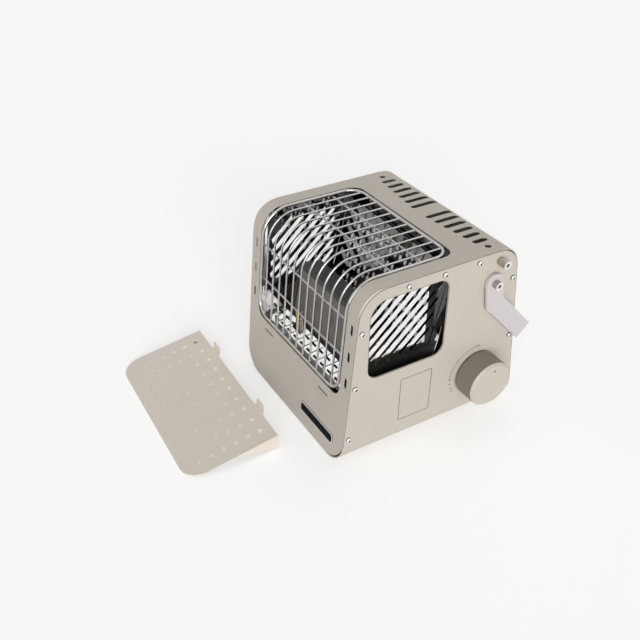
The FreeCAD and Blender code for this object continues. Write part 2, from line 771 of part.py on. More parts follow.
def chamber_floor():
    """Black floor of the chamber with upturned sides."""
    half = REFLECTOR_PLACE + REFLECTOR_SHEET
    low = CHAMBER_FLOOR - REFLECTOR_SHEET
    front = front_y(low) + SHEET + FLOOR_FRONT_GAP
    floor = box(Vector(-half, front, low), Vector(half, SHIELD_DEPTH - SEAM, CHAMBER_FLOOR))
    front_gap = SHEET * 1.1 + SEAM
    wall = chamber_block(REFLECTOR_PLACE, REFLECTOR_SHEET, front_gap, low, CHAMBER_WALL_TOP, 0)
    floor = floor.fuse([wall, mirrored(wall)])
    mixer_hole = rod(Vector(0, mixer_line().y, low - 1), UP, MIXER_RADIUS + SEAM, REFLECTOR_SHEET + 2)
    return floor.cut(mixer_hole).removeSplitter()


def side_slots(start, width):
    """Slanting slots of a side reflector, each cut off by the reflector's margins."""
    slope = math.tan(math.radians(SIDE_SLOT_RISE))
    half = SIDE_SLOT_WIDTH / 2
    across = half / math.cos(math.radians(SIDE_SLOT_RISE))
    slots = []
    for index in range(-SIDE_SLOT_EXTRA, SIDE_SLOT_COUNT - SIDE_SLOT_EXTRA):
        foot = SIDE_SLOT_START + index * SIDE_SLOT_PITCH
        ends = []
        for step in range(0, 401):
            y = foot + step * 0.25
            z = SIDE_SLOT_LOW + (y - foot) * slope
            front = front_y(z) + REFLECTOR_FRONT_GAP + SIDE_SLOT_END_GAP
            rear = rear_reflector_y(z) - SIDE_SLOT_END_GAP
            if front <= y <= rear and z <= SIDE_SLOT_HIGH:
                ends.append(Vector(start, y, z))
        if len(ends) < 2 or (ends[-1] - ends[0]).Length < SIDE_SLOT_SHORTEST:
            continue
        corners = [ends[0] + UP * across, ends[0] - UP * across,
                   ends[-1] - UP * across, ends[-1] + UP * across]
        slots.append(prism(corners, 0, ALONG_X * width))
    return slots


def right_reflector():
    """Polished side wall of the chamber with rows of slanting slots."""
    start = REFLECTOR_PLACE - REFLECTOR_SHEET
    top = HEIGHT - SHEET - SEAM
    wall = chamber_block(start, REFLECTOR_SHEET, REFLECTOR_FRONT_GAP, REFLECTOR_LOW, top,
                         FRONT_BEND - REFLECTOR_FRONT_GAP)
    return wall.cut(side_slots(start - 1, REFLECTOR_SHEET + 2))


def rear_reflector():
    """Leaning polished rear wall, joggled back under the rear of the top."""
    back = REAR_REFLECTOR_TOP_DEPTH + REAR_REFLECTOR_STEP
    top = HEIGHT - SHEET - SEAM
    sheet = REFLECTOR_SHEET
    start = -REAR_REFLECTOR_HALF
    points = [
        Vector(start, REAR_REFLECTOR_LOW_DEPTH, CHAMBER_FLOOR),
        Vector(start, REAR_REFLECTOR_TOP_DEPTH, REFLECTOR_TOP),
        Vector(start, back, REFLECTOR_TOP),
        Vector(start, back, top),
        Vector(start, back + CLIP_WIDTH, top),
        Vector(start, back + CLIP_WIDTH, top - sheet),
        Vector(start, back + sheet, top - sheet),
        Vector(start, back + sheet, REFLECTOR_TOP - sheet),
        Vector(start, REAR_REFLECTOR_TOP_DEPTH + sheet, REFLECTOR_TOP - sheet),
        Vector(start, REAR_REFLECTOR_LOW_DEPTH + sheet, CHAMBER_FLOOR),
    ]
    wall = prism(points, 0, ALONG_X * (2 * REAR_REFLECTOR_HALF))
    row_pitch = (REAR_SLOT_HIGH - REAR_SLOT_LOW + REAR_SLOT_BRIDGE) / REAR_SLOT_ROWS
    slots = []
    for column in range(REAR_SLOT_COUNT):
        x = (column - (REAR_SLOT_COUNT - 1) / 2) * REAR_SLOT_PITCH
        for row in range(REAR_SLOT_ROWS):
            low = REAR_SLOT_LOW + row * row_pitch
            slots.append(box(
                Vector(x - REAR_SLOT_WIDTH / 2, REAR_REFLECTOR_LOW_DEPTH - 5, low),
                Vector(x + REAR_SLOT_WIDTH / 2, REAR_REFLECTOR_TOP_DEPTH + 5,
                       low + row_pitch - REAR_SLOT_BRIDGE),
            ))
    return wall.cut(slots)


def lower_front_reflector():
    """Slanting polished strip between the guard's lower edge and the burner."""
    half = REFLECTOR_PLACE - SEAM
    start = Vector(-half, front_y(CHAMBER_FLOOR) + SHEET + FLOOR_FRONT_GAP + 1, CHAMBER_FLOOR)
    end = Vector(-half, BURNER_FACE_DEPTH - FRAME_THICK - 1.8, BURNER_FACE_LOW + 3)
    along = (end - start).normalize()
    inward = ALONG_X.cross(along) * -REFLECTOR_SHEET
    lower = start - along * 5
    sheet = prism([lower, end, end + inward, lower + inward], 0, ALONG_X * (2 * half))
    over_floor = box(Vector(-half, lower.y - 5, CHAMBER_FLOOR), Vector(half, end.y + 5, end.z + 5))
    sheet = sheet.common(over_floor)
    cutters = []
    middle = (start + end) * 0.5
    for index in range(FRONT_SLOT_COUNT):
        x = (index - (FRONT_SLOT_COUNT - 1) / 2) * GUARD_WIRE_PITCH
        for shift in (-FRONT_SLOT_SPREAD, FRONT_SLOT_SPREAD):
            centre = middle + along * shift
            cutters.append(box(
                Vector(x - FRONT_SLOT_LENGTH / 2, centre.y - 1, centre.z - 2),
                Vector(x + FRONT_SLOT_LENGTH / 2, centre.y + 1, centre.z + 2),
            ))
    cutters.append(box(
        Vector(SENSOR_PLACE - 5, ELECTRODE_DEPTH - 5, CHAMBER_FLOOR),
        Vector(ELECTRODE_PLACE + 5, end.y + 5, end.z + 5),
    ))
    return sheet.cut(cutters)


def top_side_shield():
    """Flat brushed strip under the opening's right edge, on the side reflector."""
    top = HEIGHT - SHIELD_STRIP_DROP
    edge = REFLECTOR_PLACE - REFLECTOR_SHEET
    strip = box(Vector(edge - SHIELD_STRIP_WIDTH, SHIELD_STRIP_FRONT, top - SHIELD_SHEET),
                Vector(edge, SHIELD_STRIP_REAR, top))
    flange = box(Vector(edge - SHIELD_SHEET, SHIELD_STRIP_FRONT, top - SHIELD_STRIP_FLANGE),
                 Vector(edge, SHIELD_STRIP_REAR, top))
    return strip.fuse(flange).removeSplitter()


def heat_shield():
    """Partition between chamber and gas bay, with a shelf over the cartridge."""
    half = COVER_HALF - SHEET - SEAM
    rear = rear_y(SHIELD_HEIGHT) - SHEET * 1.1 - SEAM
    corners = [Vector(-half, SHIELD_DEPTH, SHEET), Vector(half, SHIELD_DEPTH, SHEET),
               Vector(half, SHIELD_DEPTH, SHIELD_HEIGHT), Vector(-half, SHIELD_DEPTH, SHIELD_HEIGHT)]
    wall = prism(corners, [BASE_BEND, BASE_BEND, 0, 0], ALONG_Y * SHIELD_SHEET)
    shelf = box(Vector(-half, SHIELD_DEPTH, SHIELD_HEIGHT - SHIELD_SHEET),
                Vector(half, rear, SHIELD_HEIGHT))
    pipe_hole = rod(Vector(PIPE_PLACE, SHIELD_DEPTH - 1, JET_HEIGHT), ALONG_Y, GAS_TUBE_RADIUS + 1,
                    SHIELD_SHEET + 2)
    return wall.fuse(shelf).cut(pipe_hole).removeSplitter()


def burner_point(depth, rise):
    """Place on the leaning burner, by depth behind its face and distance up it."""
    lean = math.radians(BURNER_LEAN)
    return Vector(0, BURNER_FACE_DEPTH + depth * math.cos(lean) + rise * math.sin(lean),
                  BURNER_FACE_LOW - depth * math.sin(lean) + rise * math.cos(lean))


def on_burner(shape):
    """Lean a piece modelled upright against the burner's face line."""
    placed = shape.copy()
    placed.rotate(Vector(0, 0, 0), ALONG_X, -BURNER_LEAN)
    placed.translate(Vector(0, BURNER_FACE_DEPTH, BURNER_FACE_LOW))
    return placed


def burner_block(inset, near, far):
    """Block across the burner with an inset all round."""
    return box(Vector(inset - BURNER_WIDTH / 2, near, inset),
               Vector(BURNER_WIDTH / 2 - inset, far, BURNER_HEIGHT - inset))


def mixer_line():
    """Point where the mixer tube meets the underside of the burner."""
    return burner_point(BURNER_THICK - BURNER_WALL - MIXER_RADIUS - 1, 0)


def burner_housing():
    """Pressed box that holds the ceramic tile, open at its face and over the mixer tube."""
    shell = burner_block(0, 0, BURNER_THICK)
    shell = shell.cut(burner_block(BURNER_WALL, -1, BURNER_THICK - BURNER_WALL))
    middle = mixer_line()
    inlet = rod(middle - UP * BURNER_THICK, UP, MIXER_RADIUS - MIXER_WALL, 2 * BURNER_THICK)
    return on_burner(shell).cut(inlet)


def burner_tile():
    """Ceramic plate that glows."""
    start = MESH_THICK + 2 * SEAM
    return on_burner(burner_block(BURNER_WALL + TILE_GAP, start, start + TILE_THICK))


def burner_mesh():
    """Wire cloth in front of the ceramic plate."""
    return on_burner(burner_block(BURNER_WALL + TILE_GAP, SEAM, SEAM + MESH_THICK))


def burner_frame():
    """Rim that clamps the mesh to the housing."""
    rim = burner_block(0, -FRAME_THICK, 0)
    return on_burner(rim.cut(burner_block(FRAME_RIM, -FRAME_THICK - 1, 1)))


def burner_brackets():
    """Two feet that carry the burner on the chamber floor."""
    inner = BURNER_WIDTH / 2
    outer = inner + FRAME_THICK
    low = burner_point(BRACKET_EDGE, 0)
    low_rear = burner_point(BURNER_THICK - BRACKET_EDGE, 0)
    high = burner_point(BRACKET_EDGE, BRACKET_RISE)
    high_rear = burner_point(BURNER_THICK - BRACKET_EDGE, BRACKET_RISE)
    shift = ALONG_X * inner
    side = prism([
        Vector(inner, low.y, CHAMBER_FLOOR), high + shift,
        high_rear + shift, Vector(inner, low_rear.y, CHAMBER_FLOOR),
    ], 0, ALONG_X * FRAME_THICK)
    foot = box(Vector(inner, low.y, CHAMBER_FLOOR),
               Vector(outer + BRACKET_FOOT, low_rear.y, CHAMBER_FLOOR + FRAME_THICK))
    bracket = side.fuse(foot).removeSplitter()
    return group([bracket, mirrored(bracket)])


def mixer_tube():
    """Air and gas mixing tube with a flared mouth over the nozzle."""
    middle = mixer_line()
    start = Vector(0, middle.y, MIXER_LOW)
    flare = MIXER_MOUTH - MIXER_RADIUS
    mouth = Part.makeCone(MIXER_MOUTH, MIXER_RADIUS, flare * 2, start, UP)
    body = rod(start, UP, MIXER_RADIUS, BURNER_FACE_LOW - MIXER_LOW)
    inner_mouth = Part.makeCone(MIXER_MOUTH - MIXER_WALL, MIXER_RADIUS - MIXER_WALL, flare * 2, start, UP)
    bore = rod(start, UP, MIXER_RADIUS - MIXER_WALL, BURNER_FACE_LOW)
    tube_shape = body.fuse(mouth).cut(inner_mouth.fuse(bore))
    return tube_shape.cut(on_burner(burner_block(0, 0, BURNER_THICK)))


def gas_nozzle():
    """Brass jet that stands on the base under the mixer tube."""
    middle = mixer_line()
    tip = MIXER_LOW - JET_TIP_GAP
    shoulder = tip - JET_RADIUS * 1.6
    foot = SHEET + 2
    profile = [
        Vector(0, middle.y, SHEET), Vector(JET_RADIUS * 1.8, middle.y, SHEET),
        Vector(JET_RADIUS * 1.8, middle.y, foot), Vector(JET_RADIUS, middle.y, foot),
        Vector(JET_RADIUS, middle.y, shoulder), Vector(JET_RADIUS * 0.4, middle.y, tip),
        Vector(0, middle.y, tip),
    ]
    face = Part.Face(Part.makePolygon(profile + [profile[0]]))
    return face.revolve(Vector(0, middle.y, 0), UP, 360)


def gas_pipe():
    """Tube from the regulator's underside to the jet."""
    middle = mixer_line()
    start = Vector(PIPE_PLACE, REGULATOR_DEPTH, REGULATOR_LEVEL - REGULATOR_WIDTH / 2)
    points = [start, Vector(start.x, start.y, JET_HEIGHT), Vector(start.x, middle.y, JET_HEIGHT),
              Vector(JET_RADIUS, middle.y, JET_HEIGHT)]
    return bent_wire(points, [0, PIPE_BEND, PIPE_BEND, 0], GAS_TUBE_RADIUS)


BRACKET_FACE = INNER_HALF - BRACKET_SHEET
VALVE_FACE = BRACKET_FACE - VALVE_LENGTH
REGULATOR_FACE = VALVE_FACE - REGULATOR_LENGTH
MAGNET_FACE = REGULATOR_FACE - MAGNET_THICK
REGULATOR_DEPTH = CARTRIDGE_DEPTH - 2.5
REGULATOR_LEVEL = CARTRIDGE_HEIGHT + 5.0
KNOB_CENTRE = Vector(0, KNOB_DEPTH, KNOB_HEIGHT)
CARTRIDGE_CENTRE = Vector(0, CARTRIDGE_DEPTH, CARTRIDGE_HEIGHT)


def regulator_body():
    """Pressure regulator block with the socket for the cartridge's valve."""
    half = REGULATOR_WIDTH / 2
    corners = [
        Vector(REGULATOR_FACE, REGULATOR_DEPTH - half, REGULATOR_LEVEL - half),
        Vector(REGULATOR_FACE, REGULATOR_DEPTH + half, REGULATOR_LEVEL - half),
        Vector(REGULATOR_FACE, REGULATOR_DEPTH + half, REGULATOR_LEVEL + half),
        Vector(REGULATOR_FACE, REGULATOR_DEPTH - half, REGULATOR_LEVEL + half),
    ]
    block = prism(corners, REGULATOR_CORNER, ALONG_X * REGULATOR_LENGTH)
    socket = rod(CARTRIDGE_CENTRE + ALONG_X * (REGULATOR_FACE - 1), ALONG_X, SOCKET_BORE,
                 SOCKET_BORE_DEPTH + 1)
    stem_depth = STEM_IN_VALVE - VALVE_LENGTH
    stem_bore = rod(KNOB_CENTRE + ALONG_X * (VALVE_FACE - stem_depth - SEAM), ALONG_X,
                    STEM_RADIUS + STEM_PLAY, stem_depth + 1)
    return block.cut([socket, stem_bore])


def regulator_valve():
    """Round valve housing round the stem."""
    return tube(KNOB_CENTRE + ALONG_X * VALVE_FACE, ALONG_X, VALVE_RADIUS, STEM_RADIUS + STEM_PLAY,
                VALVE_LENGTH)


def regulator_bracket():
    """Plate that fastens the regulator to the right panel."""
    low = BASE_BEND + 3
    high = SHIELD_HEIGHT - 5
    near = SHIELD_DEPTH + 6
    far = REGULATOR_DEPTH + REGULATOR_WIDTH / 2 + 8
    corners = [Vector(BRACKET_FACE, near, low), Vector(BRACKET_FACE, far, low),
               Vector(BRACKET_FACE, far, high), Vector(BRACKET_FACE, near, high)]
    plate = prism(corners, REGULATOR_CORNER, ALONG_X * BRACKET_SHEET)
    hole = rod(KNOB_CENTRE + ALONG_X * (BRACKET_FACE - 1), ALONG_X, STEM_RADIUS + 1, BRACKET_SHEET + 2)
    return plate.cut(hole)


def magnet_ring():
    """Ring magnet that holds the cartridge's collar."""
    return tube(CARTRIDGE_CENTRE + ALONG_X * MAGNET_FACE, ALONG_X, SOCKET_RADIUS, MAGNET_BORE, MAGNET_THICK)


def cartridge_cradle():
    """Curved rest under the cartridge on two saddles."""
    inner = CARTRIDGE_RADIUS + CRADLE_GAP
    outer = inner + CRADLE_SHEET
    start = CARTRIDGE_CENTRE + ALONG_X * (MAGNET_FACE - CARTRIDGE_LENGTH / 2 - CRADLE_LENGTH / 2)
    pipe = tube(start, ALONG_X, outer, inner, CRADLE_LENGTH)
    reach = outer * math.sin(math.radians(CRADLE_HALF_ANGLE))
    level = CARTRIDGE_HEIGHT - outer * math.cos(math.radians(CRADLE_HALF_ANGLE))
    keep = box(Vector(start.x, CARTRIDGE_DEPTH - reach, 0),
               Vector(start.x + CRADLE_LENGTH, CARTRIDGE_DEPTH + reach, level))
    rest = pipe.common(keep)
    saddles = []
    for place in (0.15, 0.85):
        x = start.x + place * CRADLE_LENGTH
        block = box(Vector(x, CARTRIDGE_DEPTH - reach, SHEET),
                    Vector(x + CRADLE_SHEET * 2, CARTRIDGE_DEPTH + reach, level))
        saddles.append(block.cut(rod(CARTRIDGE_CENTRE + ALONG_X * (x - 1), ALONG_X, inner + 0.5, 10)))
    return rest.fuse(saddles).removeSplitter()


def cartridge_stop():
    """Rubber pad on the left panel behind the cartridge's end."""
    thick = INNER_HALF + MAGNET_FACE - CARTRIDGE_LENGTH
    return rod(CARTRIDGE_CENTRE - ALONG_X * INNER_HALF, ALONG_X, CARTRIDGE_RADIUS / 2, thick)


def piezo_igniter():
    """Spark unit on the regulator's bracket beside the valve."""
    near = KNOB_DEPTH + VALVE_RADIUS + 2
    low = REGULATOR_LEVEL - REGULATOR_WIDTH / 2 + 4
    body = box(Vector(VALVE_FACE + 1, near, low),
               Vector(BRACKET_FACE, near + PIEZO_WIDTH, low + PIEZO_LENGTH))
    terminal = rod(Vector((VALVE_FACE + BRACKET_FACE) / 2, near + PIEZO_WIDTH / 2, low - 5), UP, 1.5, 5)
    return body.fuse(terminal)


def sensor_place(x, level):
    """Point on the upright line just in front of the burner."""
    return Vector(x, ELECTRODE_DEPTH, level)


def ignition_electrode():
    """Ceramic rod with a wire tip bent towards the mesh."""
    ceramic = rod(sensor_place(ELECTRODE_PLACE, SENSOR_LOW), UP, ELECTRODE_RADIUS, ELECTRODE_LENGTH)
    top = SENSOR_LOW + ELECTRODE_LENGTH
    tip = bent_wire([
        sensor_place(ELECTRODE_PLACE, top - 2), sensor_place(ELECTRODE_PLACE, top + 8),
        sensor_place(ELECTRODE_PLACE, top + 8) + Vector(2, 5, 7),
    ], [0, 2, 0], 0.8)
    return ceramic.fuse(tip)


def flame_sensor():
    """Thermocouple beside the electrode."""
    body = rod(sensor_place(SENSOR_PLACE, SENSOR_LOW), UP, ELECTRODE_RADIUS, ELECTRODE_LENGTH * 0.5)
    probe = rod(sensor_place(SENSOR_PLACE, SENSOR_LOW), UP, ELECTRODE_RADIUS * 0.7, ELECTRODE_LENGTH * 1.3)
    return body.fuse(probe)


def electrode_bracket():
    """Stepped bracket that carries the electrode and the thermocouple."""
    low_x = SENSOR_PLACE - 8
    high_x = ELECTRODE_PLACE + 8
    top = CHAMBER_FLOOR + 5
    rear = BURNER_FACE_DEPTH + 1
    deck = box(Vector(low_x, ELECTRODE_DEPTH - 6, top - FRAME_THICK), Vector(high_x, rear, top))
    leg = box(Vector(low_x, rear - FRAME_THICK, CHAMBER_FLOOR), Vector(high_x, rear, top))
    foot = box(Vector(low_x, rear - FRAME_THICK, CHAMBER_FLOOR),
               Vector(high_x, rear + 9, CHAMBER_FLOOR + FRAME_THICK))
    holes = [rod(sensor_place(x, top - 5), UP, ELECTRODE_RADIUS + 0.05, 8)
             for x in (ELECTRODE_PLACE, SENSOR_PLACE)]
    return deck.fuse([leg, foot]).cut(holes).removeSplitter()


def tip_over_switch():
    """Switch on the base that shuts the gas when the heater falls over."""
    place = Vector(SWITCH_PLACE_X, SWITCH_PLACE_Y, SHEET)
    across = SWITCH_WIDTH / 2
    deep = SWITCH_DEPTH / 2
    foot = Vector(across + SWITCH_EAR, deep, 0)
    base = box(place - foot, place + foot + UP * SWITCH_FOOT)
    corners = [place + Vector(-across, -deep, 0), place + Vector(across, -deep, 0),
               place + Vector(across, deep, 0), place + Vector(-across, deep, 0)]
    return base.fuse(prism(corners, 3, UP * SWITCH_HEIGHT)).removeSplitter()


def side_point(x, y, z):
    """Point beside the right panel, by distance out from it."""
    return Vector(HALF + x, y, z)


def handle_spacers():
    """Bushes between the panels and the handle's arms."""
    spacer = tube(side_point(0, PIVOT_DEPTH, PIVOT_HEIGHT), ALONG_X, PIN_DIAMETER * 0.8,
                  PIVOT_SHANK / 2, STRAP_OFFSET - STRAP_PLAY)
    return group([spacer, mirrored(spacer)])


def handle_screw(y, z, head_start):
    """Socket head screw through the right panel."""
    head = rod(side_point(head_start, y, z), ALONG_X, PIN_DIAMETER / 2, PIN_REACH - head_start)
    shank = rod(side_point(-HANDLE_SCREW_INSIDE, y, z), ALONG_X, PIVOT_SHANK / 2,
                HANDLE_SCREW_INSIDE + head_start)
    socket = prism([
        side_point(PIN_REACH - 3, y + HEX_SOCKET * math.cos(math.radians(60 * step)),
                   z + HEX_SOCKET * math.sin(math.radians(60 * step)))
        for step in range(6)
    ], 0, ALONG_X * 5)
    return head.fuse(shank).cut(socket).removeSplitter()


def handle_pivot_screws():
    """Shoulder screws that the handle turns on."""
    screw = handle_screw(PIVOT_DEPTH, PIVOT_HEIGHT, STRAP_OFFSET + STRAP_THICK + STRAP_PLAY)
    return group([screw, mirrored(screw)])


def handle_stop_pins():
    """Pins that the arms meet when the handle is up."""
    collar = rod(side_point(0, STOP_DEPTH, STOP_HEIGHT), ALONG_X, PIN_DIAMETER / 2, PIN_REACH / 2)
    pin = handle_screw(STOP_DEPTH, STOP_HEIGHT, STRAP_OFFSET).fuse(collar).removeSplitter()
    return group([pin, mirrored(pin)])


def handle_nuts():
    """Nuts on the handle's screws and pins, inside the panels."""
    nuts = []
    for y, z in ((PIVOT_DEPTH, PIVOT_HEIGHT), (STOP_DEPTH, STOP_HEIGHT)):
        start = -SHEET - NUT_THICK
        corners = [
            side_point(start, y + NUT_RADIUS * math.cos(math.radians(60 * step)),
                       z + NUT_RADIUS * math.sin(math.radians(60 * step)))
            for step in range(6)
        ]
        bore = rod(side_point(start - 1, y, z), ALONG_X, PIVOT_SHANK / 2, NUT_THICK + 2)
        nut = prism(corners, 0, ALONG_X * NUT_THICK).cut(bore)
        nuts += [nut, mirrored(nut)]
    return group(nuts)


def strap_direction(angle):
    """Unit direction in the side plane by its angle from the rear towards the top."""
    return Vector(0, math.cos(math.radians(angle)), math.sin(math.radians(angle)))


def handle_strap():
    """Flat strap bent into two arms and a cross piece, turning on the shoulder screws."""
    half = STRAP_WIDTH / 2
    inner_x = HALF + STRAP_OFFSET
    outer_x = inner_x + STRAP_THICK
    upper = strap_direction(STRAP_UPPER_ANGLE)
    lower = strap_direction(STRAP_LOWER_ANGLE)
    upper_side = strap_direction(STRAP_UPPER_ANGLE + 90)
    lower_side = strap_direction(STRAP_LOWER_ANGLE + 90)
    pivot = Vector(inner_x, PIVOT_DEPTH, PIVOT_HEIGHT)
    bend = pivot + upper * STRAP_UPPER
    tail = bend + lower * (STRAP_LOWER - STRAP_TURN)
    turn = (upper_side + lower_side).normalize()
    miter = turn * (half / turn.dot(upper_side))
    arm = prism([
        pivot + upper_side * half, bend + miter, tail + lower_side * half,
        tail - lower_side * half, bend - miter, pivot - upper_side * half,
    ], [0, STRAP_INNER_CURVE, 0, 0, STRAP_INNER_CURVE, 0], ALONG_X * STRAP_THICK)
    arm = arm.fuse(rod(pivot, ALONG_X, half, STRAP_THICK))
    arm = arm.cut(rod(pivot - ALONG_X, ALONG_X, PIVOT_SHANK / 2 + PIVOT_PLAY, STRAP_THICK + 2))
    middle = Vector(0, tail.y, tail.z) - lower_side * half
    far = middle + lower * STRAP_TURN
    near = middle + lower * (STRAP_TURN - STRAP_THICK)
    profile = [
        middle - ALONG_X * outer_x, far - ALONG_X * outer_x, far + ALONG_X * outer_x,
        middle + ALONG_X * outer_x, middle + ALONG_X * inner_x, near + ALONG_X * inner_x,
        near - ALONG_X * inner_x, middle - ALONG_X * inner_x,
    ]
    inner_bend = STRAP_BEND - STRAP_THICK
    radii = [0, STRAP_BEND, STRAP_BEND, 0, 0, inner_bend, inner_bend, 0]
    cross = prism(profile, radii, lower_side * STRAP_WIDTH)
    return cross.fuse([arm, mirrored(arm)]).removeSplitter()


def control_knob():
    """Hollow knob with fine grip ribs, a hub for the stem and a small pointer dimple."""
    start = HALF + KNOB_GAP
    body = rod(Vector(start, 0, 0), ALONG_X, KNOB_RADIUS, KNOB_REACH - KNOB_CHAMFER)
    crown = Part.makeCone(KNOB_RADIUS, KNOB_RADIUS - KNOB_CHAMFER, KNOB_CHAMFER,
                          Vector(start + KNOB_REACH - KNOB_CHAMFER, 0, 0), ALONG_X)
    ribbed = []
    for step in range(2 * KNOB_RIBS):
        radius = KNOB_RADIUS if step % 2 else KNOB_RADIUS - KNOB_RIB_DEPTH
        angle = math.radians(180 * step / KNOB_RIBS)
        ribbed.append(Vector(start, radius * math.cos(angle), radius * math.sin(angle)))
    knob = body.fuse(crown).common(prism(ribbed, 0, ALONG_X * KNOB_REACH))
    hollow_depth = KNOB_REACH - KNOB_WALL
    hollow = tube(Vector(start - 1, 0, 0), ALONG_X, KNOB_RADIUS - KNOB_WALL, KNOB_HUB_RADIUS,
                  hollow_depth + 1)
    bore = rod(Vector(start - 1, 0, 0), ALONG_X, STEM_RADIUS, STEM_IN_KNOB + 1)
    angle = math.radians(KNOB_POINTER_ANGLE)
    pointer = rod(Vector(start + KNOB_REACH - 0.5, KNOB_POINTER_RADIUS * math.cos(angle),
                         KNOB_POINTER_RADIUS * math.sin(angle)), ALONG_X, 1.2, 1)
    knob = knob.cut([hollow, bore, pointer])
    knob.translate(KNOB_CENTRE)
    return knob


def valve_stem():
    """Stem from the valve into the knob's hub."""
    start = BRACKET_FACE - STEM_IN_VALVE
    end = HALF + KNOB_GAP + STEM_IN_KNOB
    return rod(KNOB_CENTRE + ALONG_X * start, ALONG_X, STEM_RADIUS, end - start)


HINGE_HEIGHT = DOOR_LOW - DOOR_OVERLAP - HINGE_RADIUS
HINGE_OUT = HINGE_RADIUS + DOOR_GAP
DOOR_TOP = (DOOR_HIGH + DOOR_OVERLAP - HINGE_HEIGHT) / math.cos(math.radians(REAR_ANGLE))


def on_rear(shape):
    """Lean a piece modelled upright at y = 0 on the rear face at the hinge line's height."""
    placed = shape.copy()
    placed.rotate(Vector(0, 0, 0), ALONG_X, REAR_ANGLE)
    placed.translate(Vector(0, rear_y(HINGE_HEIGHT), HINGE_HEIGHT))
    return placed


def hinge_axis(x):
    """Point on the hinge line before it is leant on the rear face."""
    return Vector(x, HINGE_OUT, 0)


def rear_door():
    """Door of the gas bay with two pairs of knuckles and a finger lip."""
    half = DOOR_WIDTH / 2 + DOOR_OVERLAP
    corners = [Vector(-half, DOOR_GAP, HINGE_RADIUS), Vector(half, DOOR_GAP, HINGE_RADIUS),
               Vector(half, DOOR_GAP, DOOR_TOP), Vector(-half, DOOR_GAP, DOOR_TOP)]
    panel = prism(corners, [0, 0, DOOR_CORNER, DOOR_CORNER], ALONG_Y * SHEET)
    lip = box(Vector(-DOOR_LIP / 2, DOOR_GAP, DOOR_TOP - SHEET),
              Vector(DOOR_LIP / 2, DOOR_GAP + SHEET + DOOR_LIP_REACH, DOOR_TOP))
    door = panel.fuse(lip)
    bores = []
    knuckle = (HINGE_LENGTH - HINGE_KNUCKLE) / 2 - SEAM
    for side in (-1, 1):
        start = side * HINGE_PLACE - HINGE_LENGTH / 2
        for x in (start, start + HINGE_LENGTH - knuckle):
            web = box(Vector(x, DOOR_GAP, 0), Vector(x + knuckle, DOOR_GAP + SHEET, HINGE_RADIUS + 2))
            door = door.fuse([rod(hinge_axis(x), ALONG_X, HINGE_RADIUS, knuckle), web])
        bores.append(rod(hinge_axis(start - 1), ALONG_X, HINGE_PIN_RADIUS + HINGE_PLAY, HINGE_LENGTH + 2))
    return on_rear(door.cut(bores).removeSplitter())


def door_hinge_leaves():
    """Fixed halves of the hinges on the rear sheet."""
    leaves = []
    for side in (-1, 1):
        start = side * HINGE_PLACE - HINGE_KNUCKLE / 2
        leaf = box(Vector(start, 0, -HINGE_LEAF), Vector(start + HINGE_KNUCKLE, SHEET, 0))
        knuckle = rod(hinge_axis(start), ALONG_X, HINGE_RADIUS, HINGE_KNUCKLE)
        bore = rod(hinge_axis(start - 1), ALONG_X, HINGE_PIN_RADIUS, HINGE_KNUCKLE + 2)
        leaves.append(on_rear(leaf.fuse(knuckle).cut(bore).removeSplitter()))
    return group(leaves)


def door_hinge_pins():
    """Pins through the knuckles."""
    return group([
        on_rear(rod(hinge_axis(side * HINGE_PLACE - HINGE_LENGTH / 2), ALONG_X, HINGE_PIN_RADIUS,
                    HINGE_LENGTH))
        for side in (-1, 1)
    ])


def door_magnet():
    """Magnet catch at the top edge of the gas bay's opening."""
    top = (DOOR_HIGH - HINGE_HEIGHT) / math.cos(math.radians(REAR_ANGLE))
    in_opening = box(Vector(-CATCH_HALF, -CATCH_DEPTH, top - 6), Vector(CATCH_HALF, 0, top - SEAM))
    behind = box(Vector(-CATCH_HALF, -CATCH_DEPTH, top - 6), Vector(CATCH_HALF, -SHEET - SEAM, top + 6))
    return on_rear(in_opening.fuse(behind).removeSplitter())


